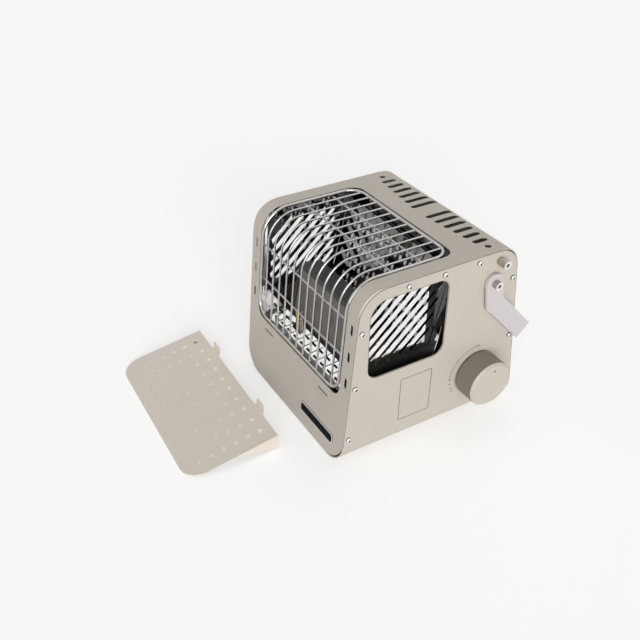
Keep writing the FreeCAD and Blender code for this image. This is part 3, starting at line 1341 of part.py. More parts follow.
def warming_tray():
    """Perforated tray with a raised rear edge, side gussets and two hooks."""
    half = TRAY_WIDTH / 2
    drop = TRAY_RISE - SHEET
    corners = [Vector(-half, -TRAY_DEPTH, 0), Vector(half, -TRAY_DEPTH, 0), Vector(half, 0, 0),
               Vector(-half, 0, 0)]
    plan = prism(corners, [TRAY_CORNER, TRAY_CORNER, 0, 0], UP * TRAY_RISE)
    slab = prism([Vector(-half, -TRAY_DEPTH, 0), Vector(-half, 0, drop), Vector(-half, 0, TRAY_RISE),
                  Vector(-half, -TRAY_DEPTH, SHEET)], 0, ALONG_X * TRAY_WIDTH)
    tray = plan.common(slab)
    level = drop * (1 - GUSSET_LENGTH / TRAY_DEPTH)
    for x in (-half, half - SHEET):
        tray = tray.fuse(prism([Vector(x, 0, 0), Vector(x, 0, drop), Vector(x, -GUSSET_LENGTH, level)],
                               0, ALONG_X * SHEET))
    for side in (-1, 1):
        x = side * HOOK_SPACING / 2 - HOOK_WIDTH / 2
        base = box(Vector(x, -SHEET, drop), Vector(x + HOOK_WIDTH, HOOK_REACH, TRAY_RISE))
        rise = prism([
            Vector(x, HOOK_REACH - SHEET, drop), Vector(x + HOOK_WIDTH, HOOK_REACH - SHEET, drop),
            Vector(x + HOOK_WIDTH, HOOK_REACH - SHEET, TRAY_RISE + HOOK_RISE),
            Vector(x, HOOK_REACH - SHEET, TRAY_RISE + HOOK_RISE),
        ], [0, 0, 4, 4], ALONG_Y * SHEET)
        tray = tray.fuse([base, rise])
    holes = []
    for column in range(TRAY_HOLE_COLUMNS):
        x = (column - (TRAY_HOLE_COLUMNS - 1) / 2) * TRAY_HOLE_PITCH_X
        for row in range(TRAY_HOLE_ROWS):
            y = -TRAY_HOLE_FIRST - row * TRAY_HOLE_PITCH_Y
            holes.append(sided_rod(Vector(x, y, -1), UP, TRAY_HOLE / 2, TRAY_RISE + 2, HOLE_SIDES))
    tray = tray.cut(holes).removeSplitter()
    tray.rotate(Vector(0, 0, 0), UP, TRAY_TURN)
    tray.translate(Vector(TRAY_MIDDLE, TRAY_REAR_EDGE, 0))
    return tray


def main():
    """Build every piece and write its file."""
    os.makedirs("parts", exist_ok=True)
    right = right_reflector()
    save(right, "right_reflector")
    save(mirrored(right), "left_reflector")
    pieces = [
        front_top_cover, side_base_shell, cover_screws, guard_frame, guard_long_wires,
        guard_cross_wires, guard_clips, badge_plate, chamber_floor, rear_reflector,
        lower_front_reflector, top_side_shield, heat_shield, burner_housing, burner_tile,
        burner_mesh, burner_frame, burner_brackets, mixer_tube, gas_nozzle, gas_pipe,
        regulator_body, regulator_valve, regulator_bracket, magnet_ring, cartridge_cradle,
        cartridge_stop, piezo_igniter, ignition_electrode, flame_sensor, electrode_bracket,
        tip_over_switch, handle_spacers, handle_pivot_screws, handle_stop_pins, handle_nuts,
        handle_strap, control_knob, valve_stem, rear_door, door_hinge_leaves, door_hinge_pins,
        door_magnet, warming_tray,
    ]
    for piece in pieces:
        save(piece(), piece.__name__)


if __name__ == "__main__":
    main()
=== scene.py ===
"""Looks of a portable propane heater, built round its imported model.

Every class below is one sub-assembly or one finish. Lengths are in metres, in the frame of the model:
+Z up, +X towards the knob, -Y towards the guarded front, the origin under the middle of the casing.
"""

import logging
import math
from collections.abc import Callable
from dataclasses import dataclass, field
from enum import Enum

import bmesh
import bpy
from mathutils import Matrix, Vector


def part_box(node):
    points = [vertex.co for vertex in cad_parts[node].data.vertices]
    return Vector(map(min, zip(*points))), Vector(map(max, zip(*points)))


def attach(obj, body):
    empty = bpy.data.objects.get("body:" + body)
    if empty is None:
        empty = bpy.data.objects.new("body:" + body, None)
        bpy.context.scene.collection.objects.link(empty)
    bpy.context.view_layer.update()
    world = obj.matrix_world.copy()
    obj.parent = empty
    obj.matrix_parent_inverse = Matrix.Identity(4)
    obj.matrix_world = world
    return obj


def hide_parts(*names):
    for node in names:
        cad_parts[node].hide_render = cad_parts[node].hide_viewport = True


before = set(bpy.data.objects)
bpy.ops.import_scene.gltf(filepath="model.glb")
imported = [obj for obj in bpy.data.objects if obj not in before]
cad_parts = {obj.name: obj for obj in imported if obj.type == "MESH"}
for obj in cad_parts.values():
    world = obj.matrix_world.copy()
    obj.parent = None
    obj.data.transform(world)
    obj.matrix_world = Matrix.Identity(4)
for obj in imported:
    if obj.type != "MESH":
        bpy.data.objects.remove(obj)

LOG = logging.getLogger("heater")
MM = 0.001
# The depth of a print or film, and the gap that keeps it off the face under it.
HAIR = 0.05 * MM
# Vertices closer than this are one, which the solid's faces share.
MERGE = 0.002 * MM
# Plated or bent round pieces keep an edge sharp only above this angle, in degrees.
ROUND_CREASE = 60.0
Z_TO_X = Matrix.Rotation(math.radians(90), 3, "Y")
Colour = tuple[float, float, float]
Point = tuple[float, float, float]
Pair = tuple[float, float]
Box = tuple[Vector, Vector]


class Body(Enum):
    """The bodies that the joints move."""

    HEATER = "heater"
    KNOB = "knob"
    HANDLE = "handle"
    DOOR = "door"
    TRAY = "tray"


class Slot(Enum):
    """The record's material slots."""

    GREIGE_PAINT = "greige_paint"
    GREIGE_KNOB = "greige_knob"
    HANDLE_PAINT = "handle_paint"
    GREIGE_METAL = "greige_metal"
    SCREW_CHROME = "screw_chrome"
    GUARD_CHROME = "guard_chrome"
    ZINC_STEEL = "zinc_steel"
    BADGE_METAL = "badge_metal"
    BLACK_ENAMEL = "black_enamel"
    MIRROR_STEEL = "mirror_steel"
    BRUSHED_SHIELD = "brushed_shield"
    DARK_STEEL = "dark_steel"
    CERAMIC = "ceramic"
    MESH_STEEL = "mesh_steel"
    BRASS = "brass"
    COPPER_PIPE = "copper_pipe"
    CAST_ZINC = "cast_zinc"
    MAGNET = "magnet"
    RUBBER = "rubber"
    BLACK_PLASTIC = "black_plastic"


class Axis(Enum):
    """The direction that a brushed or drawn surface's lines run in."""

    X = 0
    Y = 1
    Z = 2


class Value:
    """A node's output socket that Python's own operators work on.

    Each operator adds one Math node to the same tree and returns its output.
    """

    def __init__(self, wiring: "Wiring", socket: bpy.types.NodeSocket) -> None:
        """Hold a socket and the wiring that it belongs to.

        Args:
            wiring: The node tree's wrapper.
            socket: The output socket.
        """
        self.wiring = wiring
        self.socket = socket

    def maths(self, operation: str, *terms: "Value | float") -> "Value":
        """Add one Math node.

        Args:
            operation: The Math node's operation.
            terms: Its inputs, in order.

        Returns:
            The node's output.
        """
        node = self.wiring.node("ShaderNodeMath", {"operation": operation}, dict(enumerate(terms)))
        return Value(self.wiring, node.outputs[0])

    def __add__(self, other: "Value | float") -> "Value":
        """Return self + other."""
        return self.maths("ADD", self, other)

    def __radd__(self, other: float) -> "Value":
        """Return other + self."""
        return self.maths("ADD", other, self)

    def __sub__(self, other: "Value | float") -> "Value":
        """Return self - other."""
        return self.maths("SUBTRACT", self, other)

    def __rsub__(self, other: float) -> "Value":
        """Return other - self."""
        return self.maths("SUBTRACT", other, self)

    def __mul__(self, other: "Value | float") -> "Value":
        """Return self * other."""
        return self.maths("MULTIPLY", self, other)

    def __rmul__(self, other: float) -> "Value":
        """Return other * self."""
        return self.maths("MULTIPLY", other, self)

    def __abs__(self) -> "Value":
        """Return self without its sign."""
        return self.maths("ABSOLUTE", self)

    def at_least(self, limit: "Value | float") -> "Value":
        """Return the larger of self and a limit."""
        return self.maths("MAXIMUM", self, limit)

    def above(self, level: float) -> "Value":
        """Return 1 where self is above a level, and 0 elsewhere."""
        return self.maths("GREATER_THAN", self, level)


class Wiring:
    """One node tree, with the one method that adds nodes to it."""

    def __init__(self, tree: bpy.types.NodeTree) -> None:
        """Empty a node tree and hold it.

        Args:
            tree: The node tree of a material or of the world.
        """
        self.tree = tree
        tree.nodes.clear()

    def node(self, kind: str, settings: dict | None = None, sockets: dict | None = None) -> bpy.types.Node:
        """Add a node.

        Args:
            kind: The node's type.
            settings: Its settings, set first. The key stops fills a ramp with (place, colour) pairs.
            sockets: Values or Value links of its input sockets, by name or index.

        Returns:
            The new node.
        """
        made = self.tree.nodes.new(kind)
        for key, value in (settings or {}).items():
            if key == "stops":
                self.fill_ramp(made.color_ramp, value)
            else:
                setattr(made, key, value)
        for key, value in (sockets or {}).items():
            if isinstance(value, Value):
                self.tree.links.new(value.socket, made.inputs[key])
            else:
                made.inputs[key].default_value = value
        return made

    def fill_ramp(self, ramp: bpy.types.ColorRamp, stops: list[Pair]) -> None:
        """Give a ramp grey stops.

        Args:
            ramp: The ramp.
            stops: Its (place, grey) pairs, from low to high.
        """
        while len(ramp.elements) < len(stops):
            ramp.elements.new(1.0)
        for element, (place, grey) in zip(ramp.elements, stops):
            element.position = place
            element.color = (grey, grey, grey, 1.0)

    def output(self, node: bpy.types.Node, socket: str | int = 0) -> Value:
        """Return a node's output as a value."""
        return Value(self, node.outputs[socket])


class Paint(Wiring):
    """A procedural material under construction, with one principled shader."""

    def __init__(self, name: str) -> None:
        """Make the material, its shader and its output.

        Args:
            name: The material's name.
        """
        self.material = bpy.data.materials.new(name)
        self.material.use_nodes = True
        super().__init__(self.material.node_tree)
        self.shader = self.node("ShaderNodeBsdfPrincipled")
        self.node("ShaderNodeOutputMaterial", sockets={"Surface": self.output(self.shader)})
        self.place = self.output(self.node("ShaderNodeTexCoord"), "Object")

    def set(self, **sockets: "Value | float | Colour") -> None:
        """Set the shader's sockets, whose names are given with underscores.

        Args:
            sockets: A value that holds all over, or a link for what varies.
        """
        for key, value in sockets.items():
            socket = self.shader.inputs[key.replace("_", " ")]
            if isinstance(value, Value):
                self.tree.links.new(value.socket, socket)
            else:
                socket.default_value = (*value, 1.0) if isinstance(value, tuple) else value

    def stretched(self, scale: Point, turn: Point = (0.0, 0.0, 0.0)) -> Value:
        """Return Object coordinates that are turned and then scaled along each axis.

        Args:
            scale: The scale along each axis.
            turn: The turn about each axis, which comes first.

        Returns:
            The coordinates.
        """
        settings = {"vector_type": "POINT"}
        turned = self.node("ShaderNodeMapping", settings, {"Vector": self.place, "Rotation": turn})
        scaled = self.node("ShaderNodeMapping", settings, {"Vector": self.output(turned), "Scale": scale})
        return self.output(scaled)

    def noise(self, scale: float, detail: float = 2.0, at: Value | None = None) -> Value:
        """Return a noise from 0 to 1.

        Args:
            scale: Its cells per metre, or per unit of at.
            detail: Its octaves.
            at: The coordinates it reads, Object coordinates when left out.

        Returns:
            The noise's value.
        """
        sockets = {"Vector": at or self.place, "Scale": scale, "Detail": detail}
        return self.output(self.node("ShaderNodeTexNoise", {"noise_dimensions": "3D"}, sockets), 0)

    def patches(self, scale: float, detail: float, low: float, high: float) -> Value:
        """Return soft patches, 0 where a noise is under low and 1 where it is over high."""
        return self.ramp(self.noise(scale, detail), [(low, 0.0), (high, 1.0)])

    def split(self, vector: Value) -> list[Value]:
        """Return a vector's X, Y and Z."""
        node = self.node("ShaderNodeSeparateXYZ", None, {"Vector": vector})
        return [self.output(node, axis) for axis in range(3)]

    def ramp(self, value: Value, stops: list[Pair]) -> Value:
        """Return a value passed through a grey ramp."""
        return self.output(self.node("ShaderNodeValToRGB", {"stops": stops}, {"Fac": value}), 0)

    def blend(self, factor: Value, low: "Colour | Value", high: "Colour | Value") -> Value:
        """Return a colour between two others.

        Args:
            factor: 0 gives low and 1 gives high.
            low: A colour or a link.
            high: A colour or a link.

        Returns:
            The mixed colour.
        """
        sockets = {0: factor}
        for index, colour in ((6, low), (7, high)):
            sockets[index] = colour if isinstance(colour, Value) else (*colour, 1.0)
        node = self.node("ShaderNodeMix", {"data_type": "RGBA", "blend_type": "MIX"}, sockets)
        return self.output(node, 2)

    def bump(self, height: Value, strength: float, depth: float) -> None:
        """Raise the surface by a height.

        Args:
            height: The height, from 0 to 1.
            strength: The bump's share.
            depth: The height that 1 stands for, in metres.
        """
        sockets = {"Height": height, "Strength": strength, "Distance": depth}
        self.set(Normal=self.output(self.node("ShaderNodeBump", None, sockets)))


def shade(colour: Colour, factor: float) -> Colour:
    """Return a colour made lighter or darker by a factor."""
    return tuple(min(1.0, part * factor) for part in colour)


@dataclass(frozen=True)
class PowderCoat:
    """Sprayed and baked coat on sheet metal, with a fine orange peel and faint clouds."""

    colour: Colour
    roughness: float = 0.46
    cloud: float = 0.045
    peel: float = 1100.0
    peel_depth: float = 0.03 * MM

    def coat(self, paint: Paint) -> None:
        """Wire the coat into a material.

        Args:
            paint: The material under construction.
        """
        clouds = paint.noise(17.0, 4.0)
        speck = paint.noise(self.peel * 1.7, 2.0)
        tone = paint.blend(clouds, shade(self.colour, 1 - self.cloud), shade(self.colour, 1 + self.cloud))
        flecks = paint.ramp(speck, [(0.30, 1.0), (0.40, 0.0)]) * 0.25
        paint.set(Base_Color=paint.blend(flecks, tone, shade(self.colour, 0.86)))
        paint.set(Roughness=(clouds - 0.5) * 0.16 + self.roughness + (speck - 0.5) * 0.08)
        paint.set(Specular_IOR_Level=0.4)
        paint.bump(paint.noise(self.peel, 3.0), 0.35, self.peel_depth)


@dataclass(frozen=True)
class Polished:
    """Polished or plated metal: bright, slightly wavy, with smears of handling."""

    colour: Colour
    roughness: float = 0.08
    smear: float = 0.10
    wave: float = 26.0
    wave_depth: float = 0.12 * MM
    warm: Colour = (0.62, 0.52, 0.42)
    warmth: float = 0.0

    def coat(self, paint: Paint) -> None:
        """Wire the metal into a material.

        Args:
            paint: The material under construction.
        """
        smears = paint.patches(60.0, 5.0, 0.45, 0.75)
        fine = paint.noise(900.0, 2.0)
        clean = paint.blend(smears, self.colour, shade(self.colour, 0.86))
        tint = paint.patches(14.0, 3.0, 0.48, 0.72) * self.warmth
        paint.set(Base_Color=paint.blend(tint, clean, self.warm), Metallic=1.0)
        paint.set(Roughness=smears * self.smear + fine * 0.04 + self.roughness)
        paint.bump(paint.noise(self.wave, 2.0) + fine * 0.01, 0.5, self.wave_depth)


@dataclass(frozen=True)
class ZonedMirror:
    """Polished sheet painted black below one height and in a band across its depth, as painted dark
    reflection, and painted darker behind the band, as painted shade.

    A sheet with wings takes the painted black over its whole middle, between the wings.
    """

    colour: Colour
    low: float = 131.0 * MM
    rear: float = -9.0 * MM
    rear_end: float = 2.0 * MM
    wing: float = 1.0
    # The colour of the painted dark reflection.
    black: Colour = (0.018, 0.018, 0.017)
    dull: float = 0.6
    wander: float = 0.8 * MM
    behind_shade: float = 0.35
    roughness: float = 0.035

    def coat(self, paint: Paint) -> None:
        """Wire the metal into a material.

        Args:
            paint: The material under construction.
        """
        across, depth, rise = paint.split(paint.place)
        wander = (paint.noise(120.0, 3.0) - 0.5) * self.wander
        below = 1 - (rise + wander).above(self.low)
        after = depth.above(self.rear_end)
        band = (depth + wander).above(self.rear) - after
        # Painted dark reflection: black below the height and in the band, but not on the wings.
        stain_and_painted_shade = below.at_least(band) * (1 - abs(across).above(self.wing))
        smears = paint.patches(60.0, 5.0, 0.45, 0.75)
        clean = paint.blend(smears, self.colour, shade(self.colour, 0.88))
        # Behind the band the mirror is painted darker: painted shade.
        clean = paint.blend(after, clean, shade(self.colour, self.behind_shade))
        paint.set(Base_Color=paint.blend(stain_and_painted_shade, clean, self.black), Metallic=1 - stain_and_painted_shade * self.dull)
        paint.set(Roughness=smears * 0.06 + stain_and_painted_shade * (self.dull * 0.5) + self.roughness)
        paint.bump(paint.noise(26.0, 2.0), 0.5, 0.10 * MM)


@dataclass(frozen=True)
class Brushed:
    """Rolled, drawn or plated metal whose fine lines run along one axis."""

    colour: Colour
    roughness: float = 0.32
    along: Axis = Axis.X
    lines: float = 1500.0
    tarnish: float = 0.12
    tarnish_colour: Colour = (0.25, 0.22, 0.19)

    def coat(self, paint: Paint) -> None:
        """Wire the metal into a material.

        Args:
            paint: The material under construction.
        """
        scale = [1.0, 1.0, 1.0]
        scale[self.along.value] = 0.02
        grain = paint.noise(self.lines, 3.0, paint.stretched(tuple(scale)))
        stain_and_painted_shade = paint.patches(38.0, 5.0, 0.5, 0.8) * self.tarnish
        tone = paint.blend(grain, shade(self.colour, 0.88), shade(self.colour, 1.08))
        paint.set(Base_Color=paint.blend(stain_and_painted_shade, tone, self.tarnish_colour), Metallic=1.0)
        paint.set(Roughness=(grain - 0.5) * 0.22 + stain_and_painted_shade * 0.8 + self.roughness)
        paint.bump(grain, 0.3, 0.02 * MM)


@dataclass(frozen=True)
class Moulded:
    """Moulded plastic, rubber or dull black coating with a fine spark grain."""

    colour: Colour
    roughness: float = 0.55
    grain: float = 1600.0
    dust: float = 0.10
    dust_colour: Colour = (0.20, 0.19, 0.18)
    gloss: float = 0.5

    def coat(self, paint: Paint) -> None:
        """Wire the surface into a material.

        Args:
            paint: The material under construction.
        """
        grain = paint.noise(self.grain, 2.0)
        dust = paint.patches(45.0, 6.0, 0.46, 0.78) * self.dust
        paint.set(Base_Color=paint.blend(dust, self.colour, self.dust_colour))
        paint.set(Roughness=dust * 0.8 + (grain - 0.5) * 0.15 + self.roughness)
        paint.set(Specular_IOR_Level=self.gloss)
        paint.bump(grain, 0.3, 0.04 * MM)


@dataclass(frozen=True)
class TurnedPin:
    """Turned pin along X: a bright end face, and a side coloured darker by its faces' normals as painted
    shade.
    """

    face: Colour
    side: Colour

    def coat(self, paint: Paint) -> None:
        """Wire the metal into a material.

        Args:
            paint: The material under construction.
        """
        normal = paint.output(paint.node("ShaderNodeTexCoord"), "Normal")
        # End faces keep the bright colour; the sides take the dark one, painted shade.
        end = abs(paint.split(normal)[0]).above(0.8)
        grain = paint.noise(900.0, 2.0)
        side = paint.blend(grain, shade(self.side, 0.85), shade(self.side, 1.15))
        paint.set(Base_Color=paint.blend(end, side, self.face), Metallic=0.9)
        paint.set(Roughness=grain * 0.1 + (1 - end) * 0.15 + 0.2)
        paint.bump(grain, 0.2, 0.01 * MM)


@dataclass(frozen=True)
class KnobCoat:
    """Satin coat of the knob: a light turned face, and a dark ribbed side that is partly the knob's own
    darker tone and partly painted shade among the ribs and away from the light.
    """

    side: Colour
    face: Colour
    edge: float
    roughness: float = 0.42

    def coat(self, paint: Paint) -> None:
        """Wire the coat into a material.

        Args:
            paint: The material under construction.
        """
        # Past the edge plane the face is light; the side before it is dark, partly its own tone and partly
        # painted shade.
        face = paint.split(paint.place)[0].above(self.edge)
        clouds = paint.noise(22.0, 4.0)
        grain = paint.noise(1500.0, 3.0)
        side = paint.blend(clouds, shade(self.side, 0.92), shade(self.side, 1.08))
        front = paint.blend(clouds, shade(self.face, 0.97), shade(self.face, 1.03))
        paint.set(Base_Color=paint.blend(face, side, front), Specular_IOR_Level=0.4)
        paint.set(Roughness=(clouds - 0.5) * 0.12 + (grain - 0.5) * 0.08 + self.roughness)
        paint.bump(grain, 0.3, 0.03 * MM)


@dataclass(frozen=True)
class Plaque:
    """Fired ceramic, with a field of fine burner holes where a pitch is given; the holes are coloured near
    black as painted shade inside them.
    """

    colour: Colour
    hole_pitch: float = 0.0
    lean: float = 0.0
    scorch: float = 0.35
    burnt_colour: Colour = (0.16, 0.11, 0.08)
    hole_shade_colour: Colour = (0.01, 0.008, 0.007)

    def coat(self, paint: Paint) -> None:
        """Wire the ceramic into a material.

        Args:
            paint: The material under construction.
        """
        speck = paint.noise(700.0, 4.0)
        burnt = paint.patches(30.0, 4.0, 0.35, 0.8) * self.scorch
        tone = paint.blend(burnt, self.colour, self.burnt_colour)
        if self.hole_pitch:
            flat = paint.stretched((1 / self.hole_pitch, 0.001, 1 / self.hole_pitch), (self.lean, 0.0, 0.0))
            sockets = {"Vector": flat, "Scale": 1.0, "Randomness": 0.0}
            cells = paint.node("ShaderNodeTexVoronoi", {"feature": "F1"}, sockets)
            holes = paint.ramp(paint.output(cells, "Distance"), [(0.24, 1.0), (0.34, 0.0)])
            # The holes' near black is painted shade inside them.
            tone = paint.blend(holes, tone, self.hole_shade_colour)
            paint.bump(1 - holes, 0.8, 0.5 * MM)
        else:
            paint.bump(speck, 0.25, 0.05 * MM)
        paint.set(Base_Color=tone, Roughness=speck * 0.2 + 0.55)


@dataclass(frozen=True)
class Ink:
    """Thin printed ink, a little worn."""

    colour: Colour = (0.045, 0.042, 0.04)
    worn_colour: Colour = (0.25, 0.23, 0.2)
    wear: float = 0.6

    def coat(self, paint: Paint) -> None:
        """Wire the ink into a material.

        Args:
            paint: The material under construction.
        """
        worn = paint.patches(800.0, 3.0, 0.55, 0.85) * self.wear
        paint.set(Base_Color=paint.blend(worn, self.colour, self.worn_colour))
        paint.set(Roughness=worn * 0.2 + 0.45)


Finish = PowderCoat | Polished | ZonedMirror | Brushed | Moulded | TurnedPin | KnobCoat | Plaque | Ink

GREIGE: Colour = (0.640, 0.585, 0.515)
FINISHES: dict[Slot, Finish] = {
    Slot.GREIGE_PAINT: PowderCoat(GREIGE),
    # The knob's dark side is partly its own tone and partly painted shade.
    Slot.GREIGE_KNOB: KnobCoat((0.255, 0.228, 0.192), GREIGE, edge=149.0 * MM),
    Slot.HANDLE_PAINT: PowderCoat((0.685, 0.645, 0.648), roughness=0.4, cloud=0.02),
    Slot.GREIGE_METAL: PowderCoat(shade(GREIGE, 0.9), roughness=0.45),
    Slot.SCREW_CHROME: Polished((0.86, 0.86, 0.86), roughness=0.16, wave_depth=0.01 * MM),
    Slot.GUARD_CHROME: Polished((0.50, 0.49, 0.475), roughness=0.12, wave=120.0, wave_depth=0.02 * MM),
    Slot.ZINC_STEEL: Brushed((0.56, 0.57, 0.58), roughness=0.34),
    Slot.BADGE_METAL: Polished((0.60, 0.60, 0.61), roughness=0.18, wave_depth=0.01 * MM),
    Slot.BLACK_ENAMEL: Moulded((0.012, 0.012, 0.012), roughness=0.38, dust=0.06),
    Slot.MIRROR_STEEL: Polished((0.90, 0.89, 0.885), roughness=0.035, smear=0.07, warmth=0.06),
    Slot.BRUSHED_SHIELD: Brushed((0.60, 0.59, 0.59), roughness=0.5, along=Axis.Y, tarnish=0.06),
    Slot.DARK_STEEL: Moulded((0.030, 0.028, 0.027), roughness=0.5, dust=0.2),
    Slot.CERAMIC: Plaque((0.62, 0.52, 0.44), hole_pitch=2.6 * MM, lean=math.radians(11)),
    Slot.MESH_STEEL: Brushed((0.24, 0.23, 0.22), roughness=0.4, tarnish=0.35),
    Slot.BRASS: Brushed((0.72, 0.54, 0.24), roughness=0.25, tarnish=0.12),
    Slot.COPPER_PIPE: Brushed((0.78, 0.45, 0.28), roughness=0.28, tarnish=0.2),
    Slot.CAST_ZINC: Brushed((0.52, 0.52, 0.53), roughness=0.45, lines=500.0),
    Slot.MAGNET: Moulded((0.09, 0.09, 0.10), roughness=0.35),
    Slot.RUBBER: Moulded((0.035, 0.035, 0.035), roughness=0.75),
    Slot.BLACK_PLASTIC: Moulded((0.03, 0.03, 0.03), roughness=0.45),
}


class FinishBook:
    """The heater's finishes, each built once, when a piece first asks for it."""

    def __init__(self) -> None:
        """Start with no finish built."""
        self.made: dict[str, bpy.types.Material] = {}

    def of(self, slot: Slot) -> bpy.types.Material:
        """Return a slot's material."""
        return self.special(slot.value, FINISHES[slot])

    def special(self, name: str, finish: Finish) -> bpy.types.Material:
        """Return a finish that only one piece has.

        Args:
            name: The material's name.
            finish: The finish, built when the name is new.

        Returns:
            The material.
        """
        if name not in self.made:
            paint = Paint(name)
            finish.coat(paint)
            self.made[name] = paint.material
        return self.made[name]

    def redress(self, node: str, name: str, finish: Finish) -> None:
        """Give a node that is already dressed a finish of its own.

        Args:
            node: The node's name.
            name: The material's name.
            finish: The finish.
        """
        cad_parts[node].data.materials[0] = self.special(name, finish)

    def dress(self, node: str, slot: Slot, crease: float = 30.0) -> bpy.types.Object:
        """Give a node of the model its finish and smooth its curved faces.

        Args:
            node: The node's name.
            slot: The slot whose finish it takes.
            crease: The angle above which an edge stays sharp, in degrees.

        Returns:
            The node's object.
        """
        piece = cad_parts[node]
        piece.data.materials.clear()
        piece.data.materials.append(self.of(slot))
        piece.data.polygons.foreach_set("material_index", [0] * len(piece.data.polygons))
        smooth(piece, crease)
        LOG.info("dressed %s in %s", node, slot.value)
        return piece

    def dress_all(self, plain: dict[Slot, tuple[str, ...]]) -> None:
        """Dress every node of a table from slots to nodes.

        Args:
            plain: The nodes that take each slot.
        """
        for slot, nodes in plain.items():
            for node in nodes:
                self.dress(node, slot)


def smooth(piece: bpy.types.Object, crease: float) -> None:
    """Smooth a piece's curved faces and keep its flat ones flat, with modifiers alone.

    Args:
        piece: The mesh object.
        crease: The angle above which an edge stays sharp, in degrees.
    """
    piece.data.polygons.foreach_set("use_smooth", [True] * len(piece.data.polygons))
    piece.modifiers.new("weld", "WELD").merge_threshold = MERGE
    split = piece.modifiers.new("crease", "EDGE_SPLIT")
    split.split_angle = math.radians(crease)
    split.use_edge_sharp = False
    piece.modifiers.new("flats", "WEIGHTED_NORMAL").weight = 100


def as_object(name: str, shape: bmesh.types.BMesh, materials: list[bpy.types.Material]) -> bpy.types.Object:
    """Turn a bmesh, which is freed, into an object of the scene.

    Args:
        name: The object's name.
        shape: The mesh, in place.
        materials: Its materials, in the order of its faces' indices.

    Returns:
        The new object.
    """
    mesh = bpy.data.meshes.new(name)
    shape.to_mesh(mesh)
    shape.free()
    for material in materials:
        mesh.materials.append(material)
    made = bpy.data.objects.new(name, mesh)
    bpy.context.scene.collection.objects.link(made)
    return made


def finish_piece(name: str, shape: bmesh.types.BMesh, materials: list[bpy.types.Material],
                 stands_for: tuple[str, ...] = (), crease: float = 35.0, body: Body = Body.HEATER) -> None:
    """Turn a finished bmesh into a piece that rides on a body.

    Args:
        name: The piece's name.
        shape: The mesh, in place, which is freed.
        materials: Its materials, in the order of its faces' indices.
        stands_for: The nodes that it replaces.
        crease: The angle above which an edge stays sharp, in degrees.
        body: The body that it rides on.
    """
    bmesh.ops.recalc_face_normals(shape, faces=shape.faces)
    piece = as_object(name, shape, materials)
    smooth(piece, crease)
    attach(piece, body.value)
    if stands_for:
        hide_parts(*stands_for)
    LOG.info("made %s with %d faces", name, len(piece.data.polygons))


def merged_copy(node: str) -> bmesh.types.BMesh:
    """Return a copy of a node's mesh with its doubles merged.

    Args:
        node: The node's name.

    Returns:
        The copy.
    """
    shape = bmesh.new()
    shape.from_mesh(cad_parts[node].data)
    bmesh.ops.remove_doubles(shape, verts=shape.verts, dist=MERGE)
    return shape


def group_boxes(items: set, joined: Callable, corners: Callable) -> list[Box]:
    """Return the box of each connected group of mesh elements, as its lowest and highest corner.

    Args:
        items: The vertices or faces to group, which are used up.
        joined: Gives the elements that an element is joined to.
        corners: Gives an element's vertices.

    Returns:
        The boxes, in the order of their lowest corners.
    """
    boxes = []
    while items:
        front = [items.pop()]
        places = []
        while front:
            item = front.pop()
            places.extend(corner.co for corner in corners(item))
            for other in joined(item):
                if other in items:
                    items.remove(other)
                    front.append(other)
        low = Vector(min(place[axis] for place in places) for axis in range(3))
        high = Vector(max(place[axis] for place in places) for axis in range(3))
        boxes.append((low, high))
    return sorted(boxes, key=lambda pair: tuple(pair[0]))


def solids_of(node: str) -> list[Box]:
    """Return the box of each separate solid in a node.

    Args:
        node: The node's name.

    Returns:
        Each solid's lowest and highest corner.
    """
    shape = merged_copy(node)

    def joined(corner: bmesh.types.BMVert) -> list[bmesh.types.BMVert]:
        """Return the vertices that share an edge with one."""
        return [edge.other_vert(corner) for edge in corner.link_edges]

    boxes = group_boxes(set(shape.verts), joined, lambda corner: [corner])
    shape.free()
    return boxes


def corners_of(made: list) -> list[bmesh.types.BMVert]:
    """Return the vertices among what an operator made."""
    return [item for item in made if isinstance(item, bmesh.types.BMVert)]


def drum(near: float, far: float, depth: float, segments: int = 20) -> bmesh.types.BMesh:
    """Return a closed disc, drum or cone along X, its middle at the origin.

    Args:
        near: Its radius at the end towards -X.
        far: Its radius at the end towards +X.
        depth: Its length.
        segments: The sides of its outline.

    Returns:
        The mesh.
    """
    shape = bmesh.new()
    bmesh.ops.create_cone(shape, cap_ends=True, segments=segments, radius1=near, radius2=far, depth=depth)
    bmesh.ops.rotate(shape, verts=shape.verts, matrix=Z_TO_X)
    return shape


def rounded_sheet(width: float, height: float, corner: float, segments: int) -> bmesh.types.BMesh:
    """Return a flat sheet with round corners, centred on the origin in X and Y.

    Args:
        width: Its size along X.
        height: Its size along Y.
        corner: The radius of its corners.
        segments: The sides of each corner.

    Returns:
        The mesh.
    """
    shape = bmesh.new()
    bmesh.ops.create_grid(shape, x_segments=1, y_segments=1, size=0.5)
    bmesh.ops.scale(shape, verts=shape.verts, vec=(width, height, 1.0))
    bmesh.ops.bevel(shape, geom=shape.verts[:], offset=corner, segments=segments, profile=0.5,
                    affect="VERTICES", material=-1)
    return shape


def thicken(shape: bmesh.types.BMesh, shift: Point) -> None:
    """Give a flat print or sheet a depth, so that it is a closed solid."""
    made = bmesh.ops.extrude_face_region(shape, geom=shape.faces[:])["geom"]
    bmesh.ops.translate(shape, verts=corners_of(made), vec=shift)


def thicken_sides(shape: bmesh.types.BMesh, depth: float) -> None:
    """Give the films on both side walls a depth.

    Args:
        shape: The films, on both side walls.
        depth: How far they grow outwards, or inwards where it is negative.
    """
    made = bmesh.ops.extrude_face_region(shape, geom=shape.faces[:])["geom"]
    for corner in corners_of(made):
        corner.co.x += math.copysign(1.0, corner.co.x) * depth


